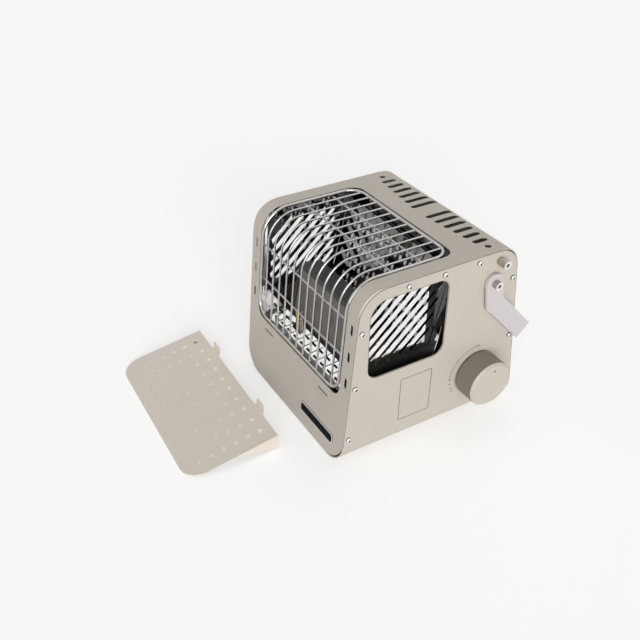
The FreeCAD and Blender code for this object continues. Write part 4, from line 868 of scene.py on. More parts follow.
def mirrored(low: Point, high: Point, side: int) -> tuple[Point, Point]:
    """Return the corners of a box, given for the right, on the side that 1 or -1 names."""
    near, far = sorted((side * low[0], side * high[0]))
    return (near, *low[1:]), (far, *high[1:])


def capsule(shape: bmesh.types.BMesh, radius: float, length: float) -> None:
    """Add a bar with round ends along Z, its middle at the origin.

    Args:
        shape: The mesh to add to.
        radius: Its radius.
        length: Its length over the ends.
    """
    ball = bmesh.ops.create_uvsphere(shape, u_segments=10, v_segments=8, radius=radius)["verts"]
    for corner in ball:
        if abs(corner.co.z) > radius * 0.01:
            corner.co.z += math.copysign(length / 2 - radius, corner.co.z)
        else:
            corner.co.z = 0.0


def widen_holes(shape: bmesh.types.BMesh, axis: Axis, grow: float, low: Point, high: Point) -> None:
    """Widen the holes of a sheet whose walls lie in a box, each wall by the same amount.

    Args:
        shape: The sheet's mesh, with its doubles merged.
        axis: The sheet's normal.
        grow: How far each wall moves into the sheet.
        low: The box's lowest corner.
        high: Its highest corner.
    """
    push: dict[bmesh.types.BMVert, set[tuple[float, ...]]] = {}
    for face in shape.faces:
        middle = face.calc_center_median()
        inside = all(low[side] < middle[side] < high[side] for side in range(3))
        if inside and abs(face.normal[axis.value]) < 0.2:
            for corner in face.verts:
                push.setdefault(corner, set()).add(tuple(round(part, 2) for part in face.normal))
    for corner, normals in push.items():
        out = sum((Vector(normal) for normal in normals), Vector()).normalized()
        out[axis.value] = 0.0
        corner.co -= out * grow


def copies(shape: bmesh.types.BMesh, places: list[Matrix]) -> None:
    """Put a copy of everything in a bmesh at each place and drop the pattern itself.

    Args:
        shape: The mesh that holds the pattern.
        places: Where each copy goes.
    """
    pattern = shape.verts[:] + shape.edges[:] + shape.faces[:]
    for place in places:
        made = bmesh.ops.duplicate(shape, geom=pattern)["geom"]
        bmesh.ops.transform(shape, matrix=place, verts=corners_of(made))
    bmesh.ops.delete(shape, geom=corners_of(pattern), context="VERTS")


@dataclass
class CrossScrew:
    """Pan head screw with a cross recess, its seat at the origin and its head along +X."""

    head: float = 6.4 * MM
    rise: float = 2.0 * MM
    arm: float = 2.1 * MM
    arm_width: float = 1.05 * MM
    recess: float = 1.1 * MM
    # Circles from the cross down to the seat, as shares of the head's radius and of its rise.
    dome: tuple[Pair, ...] = ((0.62, 0.97), (0.82, 0.80), (0.95, 0.5), (1.0, 0.12), (1.0, 0.0))
    recess_taper: float = 0.72

    def pattern(self) -> bmesh.types.BMesh:
        """Build one head.

        Returns:
            The head, its seat at the origin and its recess in the second material, which is painted shade.
        """
        shape = bmesh.new()
        bmesh.ops.create_grid(shape, x_segments=3, y_segments=3, size=self.arm)
        for corner in shape.verts:
            for axis in (0, 1):
                if abs(corner.co[axis]) < self.arm * 0.9:
                    corner.co[axis] = math.copysign(self.arm_width / 2, corner.co[axis])
        bmesh.ops.translate(shape, verts=shape.verts, vec=(0, 0, self.rise))
        for radius, level in self.dome:
            self.widen(shape, self.head / 2 * radius, self.rise * level)
        cross = [face for face in shape.faces if self.in_cross(face)]
        sunk = bmesh.ops.extrude_face_region(shape, geom=cross)["geom"]
        bmesh.ops.delete(shape, geom=cross, context="FACES")
        floor = corners_of(sunk)
        bmesh.ops.translate(shape, verts=floor, vec=(0, 0, -self.recess))
        bmesh.ops.scale(shape, verts=floor, vec=(self.recess_taper, self.recess_taper, 1.0))
        # The recess faces take the second, dark material: painted shade in the recess.
        for face in shape.faces:
            if face.calc_center_median().z < self.rise * 0.93 and self.near_axis(face):
                face.material_index = 1
        bmesh.ops.rotate(shape, verts=shape.verts, matrix=Z_TO_X)
        return shape

    def widen(self, shape: bmesh.types.BMesh, radius: float, level: float) -> None:
        """Extrude the open rim outwards onto a circle at a level.

        Args:
            shape: The head so far.
            radius: The circle's radius.
            level: The circle's height.
        """
        rim = [edge for edge in shape.edges if edge.is_boundary]
        made = bmesh.ops.extrude_edge_only(shape, edges=rim)["geom"]
        for corner in corners_of(made):
            out = Vector((corner.co.x, corner.co.y, 0)).normalized() * radius
            corner.co = Vector((out.x, out.y, level))

    def in_cross(self, face: bmesh.types.BMFace) -> bool:
        """Tell whether a face of the top grid is part of the cross.

        Args:
            face: A face of the head.

        Returns:
            Whether it is part of the cross.
        """
        middle = face.calc_center_median()
        flat = abs(middle.z - self.rise) < HAIR
        arm = min(abs(middle.x), abs(middle.y)) < self.arm_width * 0.3
        return flat and arm and max(abs(middle.x), abs(middle.y)) < self.arm

    def near_axis(self, face: bmesh.types.BMFace) -> bool:
        """Return whether a face lies in the recess."""
        return all(Vector((corner.co.x, corner.co.y)).length < self.arm * 1.1 for corner in face.verts)


@dataclass
class Casing:
    """Painted sheet casing: cover, shell with side panels, panel screws, badge and prints."""

    book: FinishBook
    screw: CrossScrew = field(default_factory=CrossScrew)
    # The dark of the screw recesses and of the rings under the heads: painted shade.
    screw_shade_finish: Moulded = Moulded((0.012, 0.012, 0.012), roughness=0.6)
    screw_clearance: float = 3.0 * MM
    seat: float = 0.9 * MM
    # The near and far radius of the painted shadow ring under each head, as shares of the head's width.
    shadow_ring_shares: Pair = (0.52, 0.47)
    vent_growth: float = 1.1 * MM
    vent_low: Pair = (-110.0 * MM, 46.0 * MM)
    vent_high: Pair = (110.0 * MM, 100.0 * MM)
    vent_depth: float = 8.0 * MM
    strip_growth: float = 1.0 * MM
    strip_low: Point = (104.5 * MM, -140.0 * MM, 106.0 * MM)
    strip_high: Point = (114.5 * MM, -80.0 * MM, 200.0 * MM)
    seam: float = 0.55 * MM
    seam_start: float = 33.6 * MM
    # The colour of the seam line, painted shade.
    seam_shade_finish: Moulded = Moulded((0.085, 0.075, 0.065), roughness=0.6)
    front_edge: float = -128.5 * MM
    front_lean: float = math.atan2(20.0, 234.5)
    badge_inset: float = 2.3 * MM
    badge_corner: float = 2.2 * MM
    badge_sunk: float = 1.0 * MM
    badge_field: float = 0.25 * MM
    badge_finish: Moulded = Moulded((0.010, 0.010, 0.012), roughness=0.8, dust=0.02, gloss=0.06)
    label_y: Pair = (-50.0 * MM, -5.5 * MM)
    label_z: Pair = (41.0 * MM, 102.0 * MM)
    label_corner: float = 2.0 * MM
    label_line: float = 0.7 * MM

    def build(self) -> None:
        """Build and dress the casing."""
        self.wide_vents()
        self.book.dress("side_base_shell", Slot.GREIGE_PAINT)
        self.book.dress("badge_plate", Slot.BADGE_METAL)
        seats = self.screws()
        self.badge_panel()
        self.label_border()
        self.edge_lines(seats)

    def wide_vents(self) -> None:
        """Copy the cover with its vents as wide as the photograph shows them."""
        self.book.dress("front_top_cover", Slot.GREIGE_PAINT)
        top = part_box("front_top_cover")[1].z
        shape = merged_copy("front_top_cover")
        low = (*self.vent_low, top - self.vent_depth)
        widen_holes(shape, Axis.Z, self.vent_growth, low, (*self.vent_high, top))
        for side in (-1, 1):
            low, high = mirrored(self.strip_low, self.strip_high, side)
            widen_holes(shape, Axis.Y, self.strip_growth, low, high)
        finish_piece("cover_with_wide_vents", shape, [self.book.of(Slot.GREIGE_PAINT)],
                     ("front_top_cover",), crease=30.0)

    def edge_lines(self, seats: list[Vector]) -> None:
        """Lay a thin dark line along each side panel's edges, between it and the cover round it: painted
        shade in the gap.

        Args:
            seats: The screws' places on the panels, as (Y, Z), which the seam leaves free.
        """
        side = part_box("side_base_shell")[1].x - HAIR / 2
        shape = merged_copy("side_base_shell")
        inner = [face for face in shape.faces if any(abs(corner.co.x) < side for corner in face.verts)]
        bmesh.ops.delete(shape, geom=inner, context="FACES")
        panels = shape.faces[:]
        rim = bmesh.ops.inset_region(shape, faces=panels, thickness=self.seam, use_boundary=True)["faces"]
        seam = {face for face in rim if self.on_seam(face, seats)}
        spare = [face for face in shape.faces if face not in seam]
        bmesh.ops.delete(shape, geom=spare, context="FACES")
        thicken_sides(shape, HAIR)
        finish_piece("panel_seam_shade_lines", shape, [self.book.special("seam_painted_shade", self.seam_shade_finish)])

    def on_seam(self, face: bmesh.types.BMFace, seats: list[Vector]) -> bool:
        """Tell whether a rim face lies above the base's bend and clear of every screw.

        Args:
            face: The rim face.
            seats: The screws' places on the panels, as (Y, Z).

        Returns:
            Whether the seam keeps it.
        """
        middle = face.calc_center_median()
        place = Vector((middle.y, middle.z))
        near = any((place - seat).length < self.screw_clearance for seat in seats)
        return not near and middle.z > self.seam_start

    def screws(self) -> list[Vector]:
        """Put a cross recess head over every panel screw.

        Returns:
            The screws' places on the panels, as (Y, Z).
        """
        places = []
        seats = []
        for low, high in solids_of("cover_screws"):
            middle = (low + high) / 2
            seats.append(Vector((middle.y, middle.z)))
            side = 1 if middle.x > 0 else -1
            seat = (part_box("side_base_shell")[1].x + self.seat) * side
            turn = Matrix.Rotation(math.radians(0 if side > 0 else 180), 4, "Z")
            # No two screws in a row stop at the same angle.
            twist = Matrix.Rotation(middle.y * 31 + middle.z * 17, 4, "X")
            places.append(Matrix.Translation((seat, middle.y, middle.z)) @ turn @ twist)
        shape = self.screw.pattern()
        copies(shape, places)
        # The recesses and the rings under the heads take this painted shade.
        dark = self.book.special("screw_recess_shade", self.screw_shade_finish)
        self.screw_shadow_rings(places, dark)
        finish_piece("panel_screw_heads", shape, [self.book.of(Slot.SCREW_CHROME), dark],
                     ("cover_screws",))
        return seats

    def screw_shadow_rings(self, places: list[Matrix], dark: bpy.types.Material) -> None:
        """Put a thin dark ring under each screw head, painted shadow round its foot.

        Args:
            places: Where the screws stand.
            dark: The material of the painted shadow.
        """
        near, far = (share * self.screw.head for share in self.shadow_ring_shares)
        shape = drum(near, far, self.seat)
        bmesh.ops.translate(shape, verts=shape.verts, vec=(-self.seat / 2 + HAIR, 0, 0))
        copies(shape, places)
        finish_piece("panel_screw_shadow_rings", shape, [dark])

    def badge_panel(self) -> None:
        """Lay a bare dark field into the badge's recess."""
        low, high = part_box("badge_plate")
        width, _, height = high - low
        shape = rounded_sheet(width - 2 * self.badge_inset, height - 2 * self.badge_inset,
                              self.badge_corner, 5)
        upright = Matrix.Rotation(math.radians(90), 3, "X")
        bmesh.ops.rotate(shape, verts=shape.verts, matrix=upright)
        thicken(shape, (0, -self.badge_field, 0))
        bmesh.ops.rotate(shape, verts=shape.verts, matrix=Matrix.Rotation(-self.front_lean, 3, "X"))
        middle = (low + high) / 2
        middle.y = self.front_edge + middle.z * math.tan(self.front_lean)
        middle.y -= self.badge_sunk / math.cos(self.front_lean)
        bmesh.ops.translate(shape, verts=shape.verts, vec=middle)
        finish_piece("badge_field", shape, [self.book.special("badge_field", self.badge_finish)])

    def label_border(self) -> None:
        """Print the empty border of the operating label on the right panel."""
        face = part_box("side_base_shell")[1].x + HAIR
        shape = rounded_sheet(self.label_y[1] - self.label_y[0], self.label_z[1] - self.label_z[0],
                              self.label_corner, 4)
        bmesh.ops.inset_region(shape, faces=shape.faces[:], thickness=self.label_line, use_boundary=True)
        middle = max(shape.faces, key=lambda face: face.calc_area())
        bmesh.ops.delete(shape, geom=[middle], context="FACES")
        onto_side = Matrix(((0, 0, 1), (1, 0, 0), (0, 1, 0)))
        bmesh.ops.rotate(shape, verts=shape.verts, matrix=onto_side)
        centre = (face, sum(self.label_y) / 2, sum(self.label_z) / 2)
        bmesh.ops.translate(shape, verts=shape.verts, vec=centre)
        thicken(shape, (HAIR, 0, 0))
        finish_piece("label_border", shape, [self.book.special("print_ink", Ink())])


@dataclass
class Guard:
    """Plated wire guard: frame, long wires, cross wires, clips and weld spots."""

    book: FinishBook
    weld: float = 1.5 * MM
    weld_flatness: float = 0.62
    top_band: float = 12.0 * MM
    front_out: Point = (0.0, -1.0, 0.085)

    def build(self) -> None:
        """Build and dress the guard."""
        for node in ("guard_frame", "guard_long_wires", "guard_cross_wires"):
            self.book.dress(node, Slot.GUARD_CHROME, 50.0)
        self.book.dress("guard_clips", Slot.ZINC_STEEL)
        self.weld_spots()

    def weld_spots(self) -> None:
        """Put a flattened bead where each long wire crosses a cross wire."""
        long_boxes = solids_of("guard_long_wires")
        places = []
        for low, high in solids_of("guard_cross_wires"):
            level = (low.z + high.z) / 2
            depth = (low.y + high.y) / 2
            on_top = high.z > long_boxes[0][1].z - self.top_band
            out = Vector((0, 0, 1)) if on_top else Vector(self.front_out).normalized()
            reach = (high.z - low.z) / 2
            for wire_low, wire_high in long_boxes:
                spot = Vector(((wire_low.x + wire_high.x) / 2, depth, level)) + out * reach
                turn = out.to_track_quat("Z", "Y").to_matrix().to_4x4()
                places.append(Matrix.Translation(spot) @ turn)
        shape = bmesh.new()
        bmesh.ops.create_icosphere(shape, subdivisions=2, radius=self.weld)
        bmesh.ops.scale(shape, verts=shape.verts, vec=(1.0, 1.0, self.weld_flatness))
        copies(shape, places)
        finish_piece("guard_weld_spots", shape, [self.book.of(Slot.GUARD_CHROME)],
                     crease=ROUND_CREASE)


@dataclass
class FireBox:
    """Reflectors, black floor pan and heat shields round the burner."""

    book: FinishBook
    # The rear mirror is painted a dark grey all over its middle, between its wings: painted dark
    # reflection.
    rear_finish: ZonedMirror = ZonedMirror((0.82, 0.81, 0.81), low=1.0, wing=104.5 * MM,
                                           black=(0.19, 0.185, 0.18), dull=0.0)
    # The side mirrors are painted black low down and in a band across their depth, as painted dark
    # reflection, and darker behind the band, as painted shade.
    side_finish: ZonedMirror = ZonedMirror((0.92, 0.915, 0.91))
    liner_finish: Polished = Polished((0.34, 0.33, 0.325), roughness=0.34, wave_depth=0.04 * MM)
    # Matt white that stands in for the bright reflection of the polished louvres: painted reflection.
    louvre_reflection_finish: Moulded = Moulded((0.92, 0.915, 0.91), roughness=0.3, dust=0.0)
    # The heat shield is coloured near black.
    shield_finish: Moulded = Moulded((0.010, 0.010, 0.010), roughness=0.7)
    slots_low: Point = (103.0 * MM, -87.0 * MM, 124.5 * MM)
    slots_high: Point = (108.0 * MM, 12.0 * MM, 212.5 * MM)
    slot_growth: float = 0.8 * MM
    liner: float = 0.2 * MM
    liner_low: float = 91.0 * MM
    rear_half: float = 100.0 * MM
    slot_width: float = 4.5 * MM
    hood_width: float = 5.8 * MM
    hood_rise: float = 1.3 * MM
    hood_rows: int = 2
    hood_share: float = 0.82

    def build(self) -> None:
        """Build and dress the fire box."""
        self.book.dress_all({
            Slot.MIRROR_STEEL: ("left_reflector", "right_reflector", "rear_reflector",
                                "lower_front_reflector"),
            Slot.BLACK_ENAMEL: ("chamber_floor",),
            Slot.BRUSHED_SHIELD: ("top_side_shield",),
            Slot.ZINC_STEEL: ("heat_shield",),
        })
        self.book.redress("rear_reflector", "rear_mirror", self.rear_finish)
        self.book.redress("heat_shield", "shield_near_black", self.shield_finish)
        self.side_wall("left_reflector", -1)
        self.side_wall("right_reflector", 1)
        self.side_liners()
        self.rear_louvres()

    def side_wall(self, node: str, side: int) -> None:
        """Copy a side reflector with its slots as wide as the photograph shows them.

        Args:
            node: The reflector's node.
            side: 1 on the right and -1 on the left.
        """
        shape = merged_copy(node)
        low, high = mirrored(self.slots_low, self.slots_high, side)
        widen_holes(shape, Axis.X, self.slot_growth, low, high)
        mirror = self.book.special("slotted_mirror", self.side_finish)
        finish_piece(node + "_pressed", shape, [mirror], (node,))

    def side_liners(self) -> None:
        """Line the inner faces of the floor pan's upturned sides with polished sheet."""
        shape = merged_copy("chamber_floor")
        spare = [face for face in shape.faces if not self.lines_side(face)]
        bmesh.ops.delete(shape, geom=spare, context="FACES")
        for corner in shape.verts:
            corner.co.x -= math.copysign(HAIR, corner.co.x)
        thicken_sides(shape, -self.liner)
        steel = self.book.special("liner_steel", self.liner_finish)
        finish_piece("chamber_side_liners", shape, [steel])

    def lines_side(self, face: bmesh.types.BMFace) -> bool:
        """Return whether a face of the floor pan is an inner face of one of its sides."""
        middle = face.calc_center_median()
        return face.normal.x * math.copysign(1.0, middle.x) < -0.9 and middle.z > self.liner_low

    def rear_louvres(self) -> None:
        """Press louvres over the slots of the rear reflector, coloured matt white as painted reflection of
        their polished metal.
        """
        places = []
        for low, high in self.rear_slots():
            step = (high - low) / self.hood_rows
            run = Vector((0, step.y, step.z))
            turn = Matrix.Rotation(math.atan2(-run.y, run.z), 4, "X")
            for row in range(self.hood_rows):
                middle = low + step * (row + 0.5)
                middle.x = low.x + self.slot_width / 2
                places.append(Matrix.Translation(middle) @ turn)
        hoods = bmesh.new()
        capsule(hoods, self.hood_width / 2, run.length * self.hood_share)
        bmesh.ops.scale(hoods, verts=hoods.verts, vec=(1.0, self.hood_rise / (self.hood_width / 2), 1.0))
        copies(hoods, places)
        bright = self.book.special("louvre_painted_reflection", self.louvre_reflection_finish)
        finish_piece("rear_louvres", hoods, [bright], crease=ROUND_CREASE)

    def rear_slots(self) -> list[Box]:
        """Return one side wall of each slot of the rear reflector, as a box.

        Returns:
            The boxes, from -X to +X.
        """
        shape = merged_copy("rear_reflector")
        walls = {face for face in shape.faces if self.is_slot_wall(face)}

        def joined(face: bmesh.types.BMFace) -> list[bmesh.types.BMFace]:
            """Return the faces round one."""
            return [other for edge in face.edges for other in edge.link_faces]

        boxes = group_boxes(walls, joined, lambda face: face.verts)
        shape.free()
        return boxes

    def is_slot_wall(self, face: bmesh.types.BMFace) -> bool:
        """Return whether a face looks to +X inside the sheet, as one side of each slot does."""
        return face.normal.x > 0.98 and abs(face.calc_center_median().x) < self.rear_half


@dataclass
class Burner:
    """Ceramic burner with its woven screen, igniter and gas feed."""

    book: FinishBook
    pitch: float = 2.4 * MM
    wire: float = 0.8 * MM
    lean: float = math.radians(11)
    rim_finish: Brushed = Brushed((0.10, 0.095, 0.09), roughness=0.45)

    def build(self) -> None:
        """Build and dress the burner."""
        self.book.dress_all({
            Slot.DARK_STEEL: ("burner_housing", "burner_brackets"),
            Slot.CERAMIC: ("burner_tile", "ignition_electrode"),
            Slot.BRUSHED_SHIELD: ("burner_frame",),
            Slot.BRASS: ("flame_sensor",),
            Slot.ZINC_STEEL: ("electrode_bracket", "mixer_tube"),
        })
        self.book.redress("burner_frame", "burner_rim", self.rim_finish)
        self.woven_screen()

    def woven_screen(self) -> None:
        """Weave the screen from wires that pass over and under each other."""
        low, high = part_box("burner_mesh")
        width = high.x - low.x
        rise = (high.z - low.z) / math.cos(self.lean)
        shape = bmesh.new()
        self.weave(shape, width, rise, False)
        crossing = bmesh.new()
        self.weave(crossing, rise, width, True)
        bmesh.ops.rotate(crossing, verts=crossing.verts, matrix=Matrix.Rotation(math.radians(90), 3, "Z"))
        spare = bpy.data.meshes.new("spare")
        crossing.to_mesh(spare)
        crossing.free()
        shape.from_mesh(spare)
        bpy.data.meshes.remove(spare)
        upright = Matrix.Rotation(math.radians(90) - self.lean, 3, "X")
        bmesh.ops.rotate(shape, verts=shape.verts, matrix=upright)
        bmesh.ops.translate(shape, verts=shape.verts, vec=(low + high) / 2)
        finish_piece("burner_woven_screen", shape, [self.book.of(Slot.MESH_STEEL)],
                     ("burner_mesh",), crease=70.0)

    def weave(self, shape: bmesh.types.BMesh, length: float, span: float, first_under: bool) -> None:
        """Fill a flat rectangle with waved wires along X.

        Args:
            shape: The mesh to fill.
            length: The wires' length.
            span: The width that the wires fill.
            first_under: Whether the first wire starts below the crossing ones.
        """
        steps = int(length / self.pitch)
        ring = bmesh.ops.create_circle(shape, cap_ends=True, segments=4, radius=self.wire / 2)["verts"]
        bmesh.ops.rotate(shape, verts=ring, matrix=Z_TO_X)
        bmesh.ops.translate(shape, verts=ring, vec=(-steps * self.pitch / 2, 0, 0))
        end = shape.faces[:]
        for step in range(steps):
            made = bmesh.ops.extrude_face_region(shape, geom=end)["geom"]
            if step:
                bmesh.ops.delete(shape, geom=end, context="FACES_ONLY")
            end = [item for item in made if isinstance(item, bmesh.types.BMFace)]
            lift = self.wire * 0.5 * (1 if step % 2 else -1)
            shift = (self.pitch, 0, lift * (1 if step else 0.5))
            bmesh.ops.translate(shape, verts=corners_of(made), vec=shift)
        count = int(span / self.pitch)
        places = []
        for index in range(count):
            across = (index - (count - 1) / 2) * self.pitch
            flip = -1 if (index % 2) ^ first_under else 1
            places.append(Matrix.Translation((0, across, 0)) @ Matrix.Diagonal((1, 1, flip, 1)))
        copies(shape, places)


@dataclass
class GasBay:
    """Regulator, cartridge bay, pipe, igniter box and safety switch behind the shield."""

    book: FinishBook

    def build(self) -> None:
        """Dress the gas bay."""
        self.book.dress_all({
            Slot.CAST_ZINC: ("regulator_body",),
            Slot.BRASS: ("regulator_valve", "gas_nozzle"),
            Slot.ZINC_STEEL: ("regulator_bracket", "cartridge_cradle", "door_hinge_leaves",
                              "door_hinge_pins"),
            Slot.COPPER_PIPE: ("gas_pipe",),
            Slot.MAGNET: ("magnet_ring", "door_magnet"),
            Slot.RUBBER: ("cartridge_stop",),
            Slot.BLACK_PLASTIC: ("piezo_igniter", "tip_over_switch"),
            Slot.GREIGE_PAINT: ("rear_door",),
        })


@dataclass
class Knob:
    """Ribbed control knob, its stem and the scale printed round it."""

    book: FinishBook
    scale_radius: float = 37.5 * MM
    dimple: float = 1.5 * MM
    dimple_radius: float = 19.6 * MM
    dimple_angle: float = 83.0
    dimple_finish: Moulded = Moulded((0.16, 0.145, 0.125), roughness=0.6)
    line: float = 0.55 * MM
    dot: float = 1.1 * MM
    start: float = 88.0
    middle: float = 138.0
    end: float = 180.0
    ticks: tuple[float, ...] = (180.0, 190.0, 200.5, 208.5)
    tick_half: float = 1.2
    tick_length: float = 1.87 * MM

    def build(self) -> None:
        """Build and dress the knob and its scale."""
        self.book.dress("control_knob", Slot.GREIGE_KNOB, 40.0)
        self.book.dress("valve_stem", Slot.BRASS)
        self.scale_print()
        self.pointer()

    def pointer(self) -> None:
        """Shade the pointer dimple in the knob's face."""
        low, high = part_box("control_knob")
        shape = drum(self.dimple, self.dimple, 2 * HAIR)
        turn = Matrix.Rotation(math.radians(self.dimple_angle), 3, "X")
        out = turn @ Vector((0, self.dimple_radius, 0))
        place = Vector((high.x, (low.y + high.y) / 2, (low.z + high.z) / 2)) + out
        bmesh.ops.translate(shape, verts=shape.verts, vec=place)
        dark = self.book.special("dimple_shade", self.dimple_finish)
        finish_piece("knob_pointer", shape, [dark], body=Body.KNOB)

    def scale_print(self) -> None:
        """Print the arc, its dots and its end ticks on the right panel."""
        low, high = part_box("control_knob")
        axis = Vector((0, (low.y + high.y) / 2, (low.z + high.z) / 2))
        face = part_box("side_base_shell")[1].x + HAIR
        shape = bmesh.new()
        self.arc(shape, self.start, self.end, self.scale_radius, self.line)
        for place in (self.start, self.middle):
            self.spot(shape, place)
        for place in self.ticks:
            self.arc(shape, place - self.tick_half, place + self.tick_half, self.scale_radius,
                     self.tick_length)
        bmesh.ops.translate(shape, verts=shape.verts, vec=(face, axis.y, axis.z))
        thicken(shape, (HAIR, 0, 0))
        finish_piece("knob_scale_print", shape, [self.book.special("print_ink", Ink())])

    def arc(self, shape: bmesh.types.BMesh, start: float, end: float, radius: float, width: float) -> None:
        """Spin a short line into a flat arc, by angles from +Y towards +Z.

        Args:
            shape: The mesh to add to.
            start: The first angle, in degrees.
            end: The last angle, in degrees.
            radius: The arc's middle radius.
            width: Its width.
        """
        turn = Matrix.Rotation(math.radians(start), 3, "X")
        corners = [shape.verts.new(turn @ Vector((0, radius + side * width / 2, 0))) for side in (-1, 1)]
        line = shape.edges.new(corners)
        bmesh.ops.spin(shape, geom=[*corners, line], cent=(0, 0, 0), axis=(1, 0, 0), dvec=(0, 0, 0),
                       angle=math.radians(end - start), steps=max(2, int(abs(end - start) / 3)),
                       use_merge=False, use_duplicate=False)

    def spot(self, shape: bmesh.types.BMesh, place: float) -> None:
        """Add a round dot on the arc at an angle.

        Args:
            shape: The mesh to add to.
            place: The angle, in degrees.
        """
        corners = bmesh.ops.create_circle(shape, cap_ends=True, segments=14, radius=self.dot)["verts"]
        bmesh.ops.rotate(shape, verts=corners, matrix=Z_TO_X)
        turn = Matrix.Rotation(math.radians(place), 3, "X")
        centre = turn @ Vector((0, self.scale_radius, 0)) + Vector((HAIR / 4, 0, 0))
        bmesh.ops.translate(shape, verts=corners, vec=centre)


@dataclass
class Handle:
    """Strap handle with its pivot screws, stop pins, spacers and nuts."""

    book: FinishBook
    pin_finish: TurnedPin = TurnedPin((0.93, 0.93, 0.92), (0.42, 0.39, 0.345))
    socket: float = 1.9 * MM
    socket_shade_finish: Moulded = Moulded((0.13, 0.125, 0.12), roughness=0.5)
    arm_face: float = 123.0 * MM
    hub: float = 11.4 * MM
    hub_gap: float = 3 * HAIR

    def build(self) -> None:
        """Build and dress the handle."""
        self.book.dress_all({
            Slot.HANDLE_PAINT: ("handle_strap",),
            Slot.GREIGE_METAL: ("handle_spacers",),
            Slot.ZINC_STEEL: ("handle_nuts",),
            Slot.SCREW_CHROME: ("handle_pivot_screws", "handle_stop_pins"),
        })
        for node in ("handle_pivot_screws", "handle_stop_pins"):
            self.book.redress(node, "turned_pin", self.pin_finish)
            self.sockets(node)
        self.hubs()

    def sockets(self, node: str) -> None:
        """Lay a flat dark hexagon on the end of each screw or pin, painted shade of its hex socket.

        Args:
            node: The node that holds the screws or pins.
        """
        shape = drum(self.socket, self.socket, 2 * HAIR, 6)
        places = []
        for low, high in solids_of(node):
            end = high.x if high.x > 0 else low.x
            places.append(Matrix.Translation((end, (low.y + high.y) / 2, (low.z + high.z) / 2)))
        copies(shape, places)
        finish_piece(node + "_sockets", shape, [self.book.special("socket_shade", self.socket_shade_finish)])

    def hubs(self) -> None:
        """Fill the gap between each arm and its panel with the hub that turns there."""
        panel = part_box("side_base_shell")[1].x
        arm = self.arm_face - self.hub_gap
        shape = drum(self.hub, self.hub, arm - panel - self.hub_gap, 48)
        low, high = solids_of("handle_spacers")[0]
        middle = (low + high) / 2
        places = [Matrix.Translation((side * (arm + panel) / 2, middle.y, middle.z)) for side in (-1, 1)]
        copies(shape, places)
        paint = self.book.of(Slot.GREIGE_METAL)
        finish_piece("handle_hubs", shape, [paint], body=Body.HANDLE)


@dataclass
class Tray:
    """Perforated warming tray that lies beside the heater."""

    book: FinishBook
    # The tray takes the casing's greige paint made 1.38 times lighter: painted light.
    finish: PowderCoat = PowderCoat(shade(GREIGE, 1.38), cloud=0.03)

    def build(self) -> None:
        """Dress the tray."""
        self.book.dress("warming_tray", Slot.GREIGE_PAINT)
        self.book.redress("warming_tray", "tray_coat_lightened", self.finish)


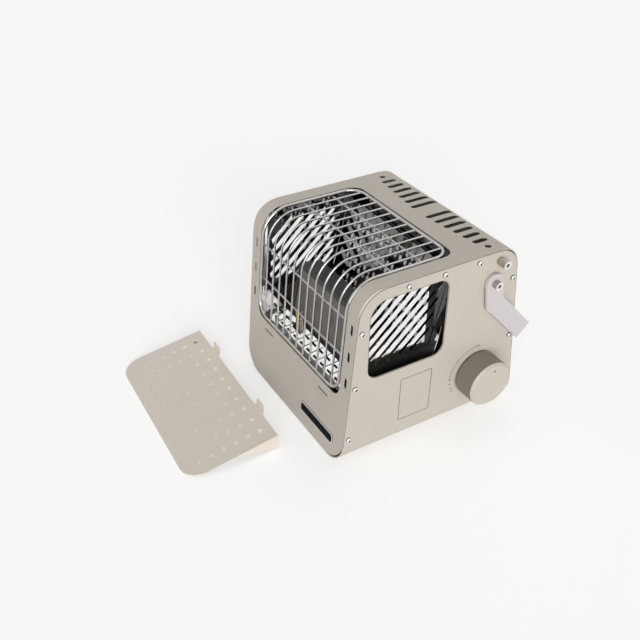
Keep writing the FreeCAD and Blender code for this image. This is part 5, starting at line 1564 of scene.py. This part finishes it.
@dataclass
class Studio:
    """Pale floor, plain soft light and the camera at the photograph's angle."""

    reach: float = 6.0
    white: float = 0.93
    ambient: float = 0.35
    floor_albedo: float = 0.90
    floor_glow: float = 0.405
    lens: float = 45.0527
    sensor: float = 36.0
    eye: Point = (0.678931, -0.491509, 0.676904)
    turn: Point = (55.0925, -0.3584, 59.3752)

    def build(self) -> None:
        """Build the floor, the light and the camera, and set the view's look."""
        self.floor()
        self.world()
        self.sun("key_light", (0.62, -0.28, 0.09), 2.5, 50.0)
        self.sun("top_light", (-0.25, 0.35, 0.9), 0.35, 60.0)
        self.camera()
        bpy.context.scene.view_settings.view_transform = "Standard"

    def seen(self, wiring: Wiring) -> Value:
        """Return 1 for what the camera, a reflection or a clear view sees, and 0 for light.

        Args:
            wiring: The tree that the value is for.

        Returns:
            The value.
        """
        path = wiring.node("ShaderNodeLightPath")
        camera = wiring.output(path, "Is Camera Ray")
        glossy = wiring.output(path, "Is Glossy Ray")
        return camera.at_least(glossy).at_least(wiring.output(path, "Is Transmission Ray"))

    def floor(self) -> None:
        """Lay the floor, whose own glow makes it look white but lights no other surface."""
        material = bpy.data.materials.new("studio_floor")
        material.use_nodes = True
        wiring = Wiring(material.node_tree)
        albedo = (self.floor_albedo,) * 3 + (1.0,)
        matt = wiring.node("ShaderNodeBsdfDiffuse", None, {"Color": albedo})
        glow = wiring.node("ShaderNodeEmission", None, {"Strength": self.seen(wiring) * self.floor_glow})
        both = wiring.node("ShaderNodeAddShader", None, {0: wiring.output(matt), 1: wiring.output(glow)})
        wiring.node("ShaderNodeOutputMaterial", None, {"Surface": wiring.output(both)})
        shape = bmesh.new()
        bmesh.ops.create_grid(shape, x_segments=2, y_segments=2, size=self.reach)
        bmesh.ops.translate(shape, verts=shape.verts, vec=(0, 0, -HAIR))
        as_object("studio_floor", shape, [material])

    def world(self) -> None:
        """Surround the scene with white that lights the object at a plain level."""
        world = bpy.data.worlds.new("studio")
        world.use_nodes = True
        wiring = Wiring(world.node_tree)
        level = self.seen(wiring) * (self.white - self.ambient) + self.ambient
        sockets = {"Color": (1.0, 0.995, 0.985, 1.0), "Strength": level}
        back = wiring.node("ShaderNodeBackground", None, sockets)
        wiring.node("ShaderNodeOutputWorld", None, {"Surface": wiring.output(back)})
        bpy.context.scene.world = world

    def sun(self, name: str, towards: Point, strength: float, spread: float) -> None:
        """Add a broad soft lamp.

        Args:
            name: The lamp's name.
            towards: The direction from the heater to the lamp.
            strength: Its strength.
            spread: Its angle, in degrees.
        """
        lamp = bpy.data.lights.new(name, "SUN")
        lamp.energy = strength
        lamp.angle = math.radians(spread)
        holder = bpy.data.objects.new(name, lamp)
        holder.rotation_euler = Vector(towards).to_track_quat("Z", "Y").to_euler()
        bpy.context.scene.collection.objects.link(holder)

    def camera(self) -> None:
        """Place the camera."""
        lens = bpy.data.cameras.new("camera")
        lens.lens = self.lens
        lens.sensor_width = self.sensor
        lens.clip_start = 0.01
        lens.clip_end = 50.0
        camera = bpy.data.objects.new("camera", lens)
        camera.location = self.eye
        camera.rotation_euler = [math.radians(angle) for angle in self.turn]
        bpy.context.scene.collection.objects.link(camera)
        bpy.context.scene.camera = camera


def main() -> None:
    """Build the heater's looks, from the casing inwards."""
    logging.basicConfig(level=logging.INFO, format="%(name)s: %(message)s")
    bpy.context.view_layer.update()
    book = FinishBook()
    for part in (Casing, Guard, FireBox, Burner, GasBay, Knob, Handle, Tray):
        part(book).build()
        LOG.info("built %s", part.__name__)
    Studio().build()


if __name__ == "__main__":
    main()
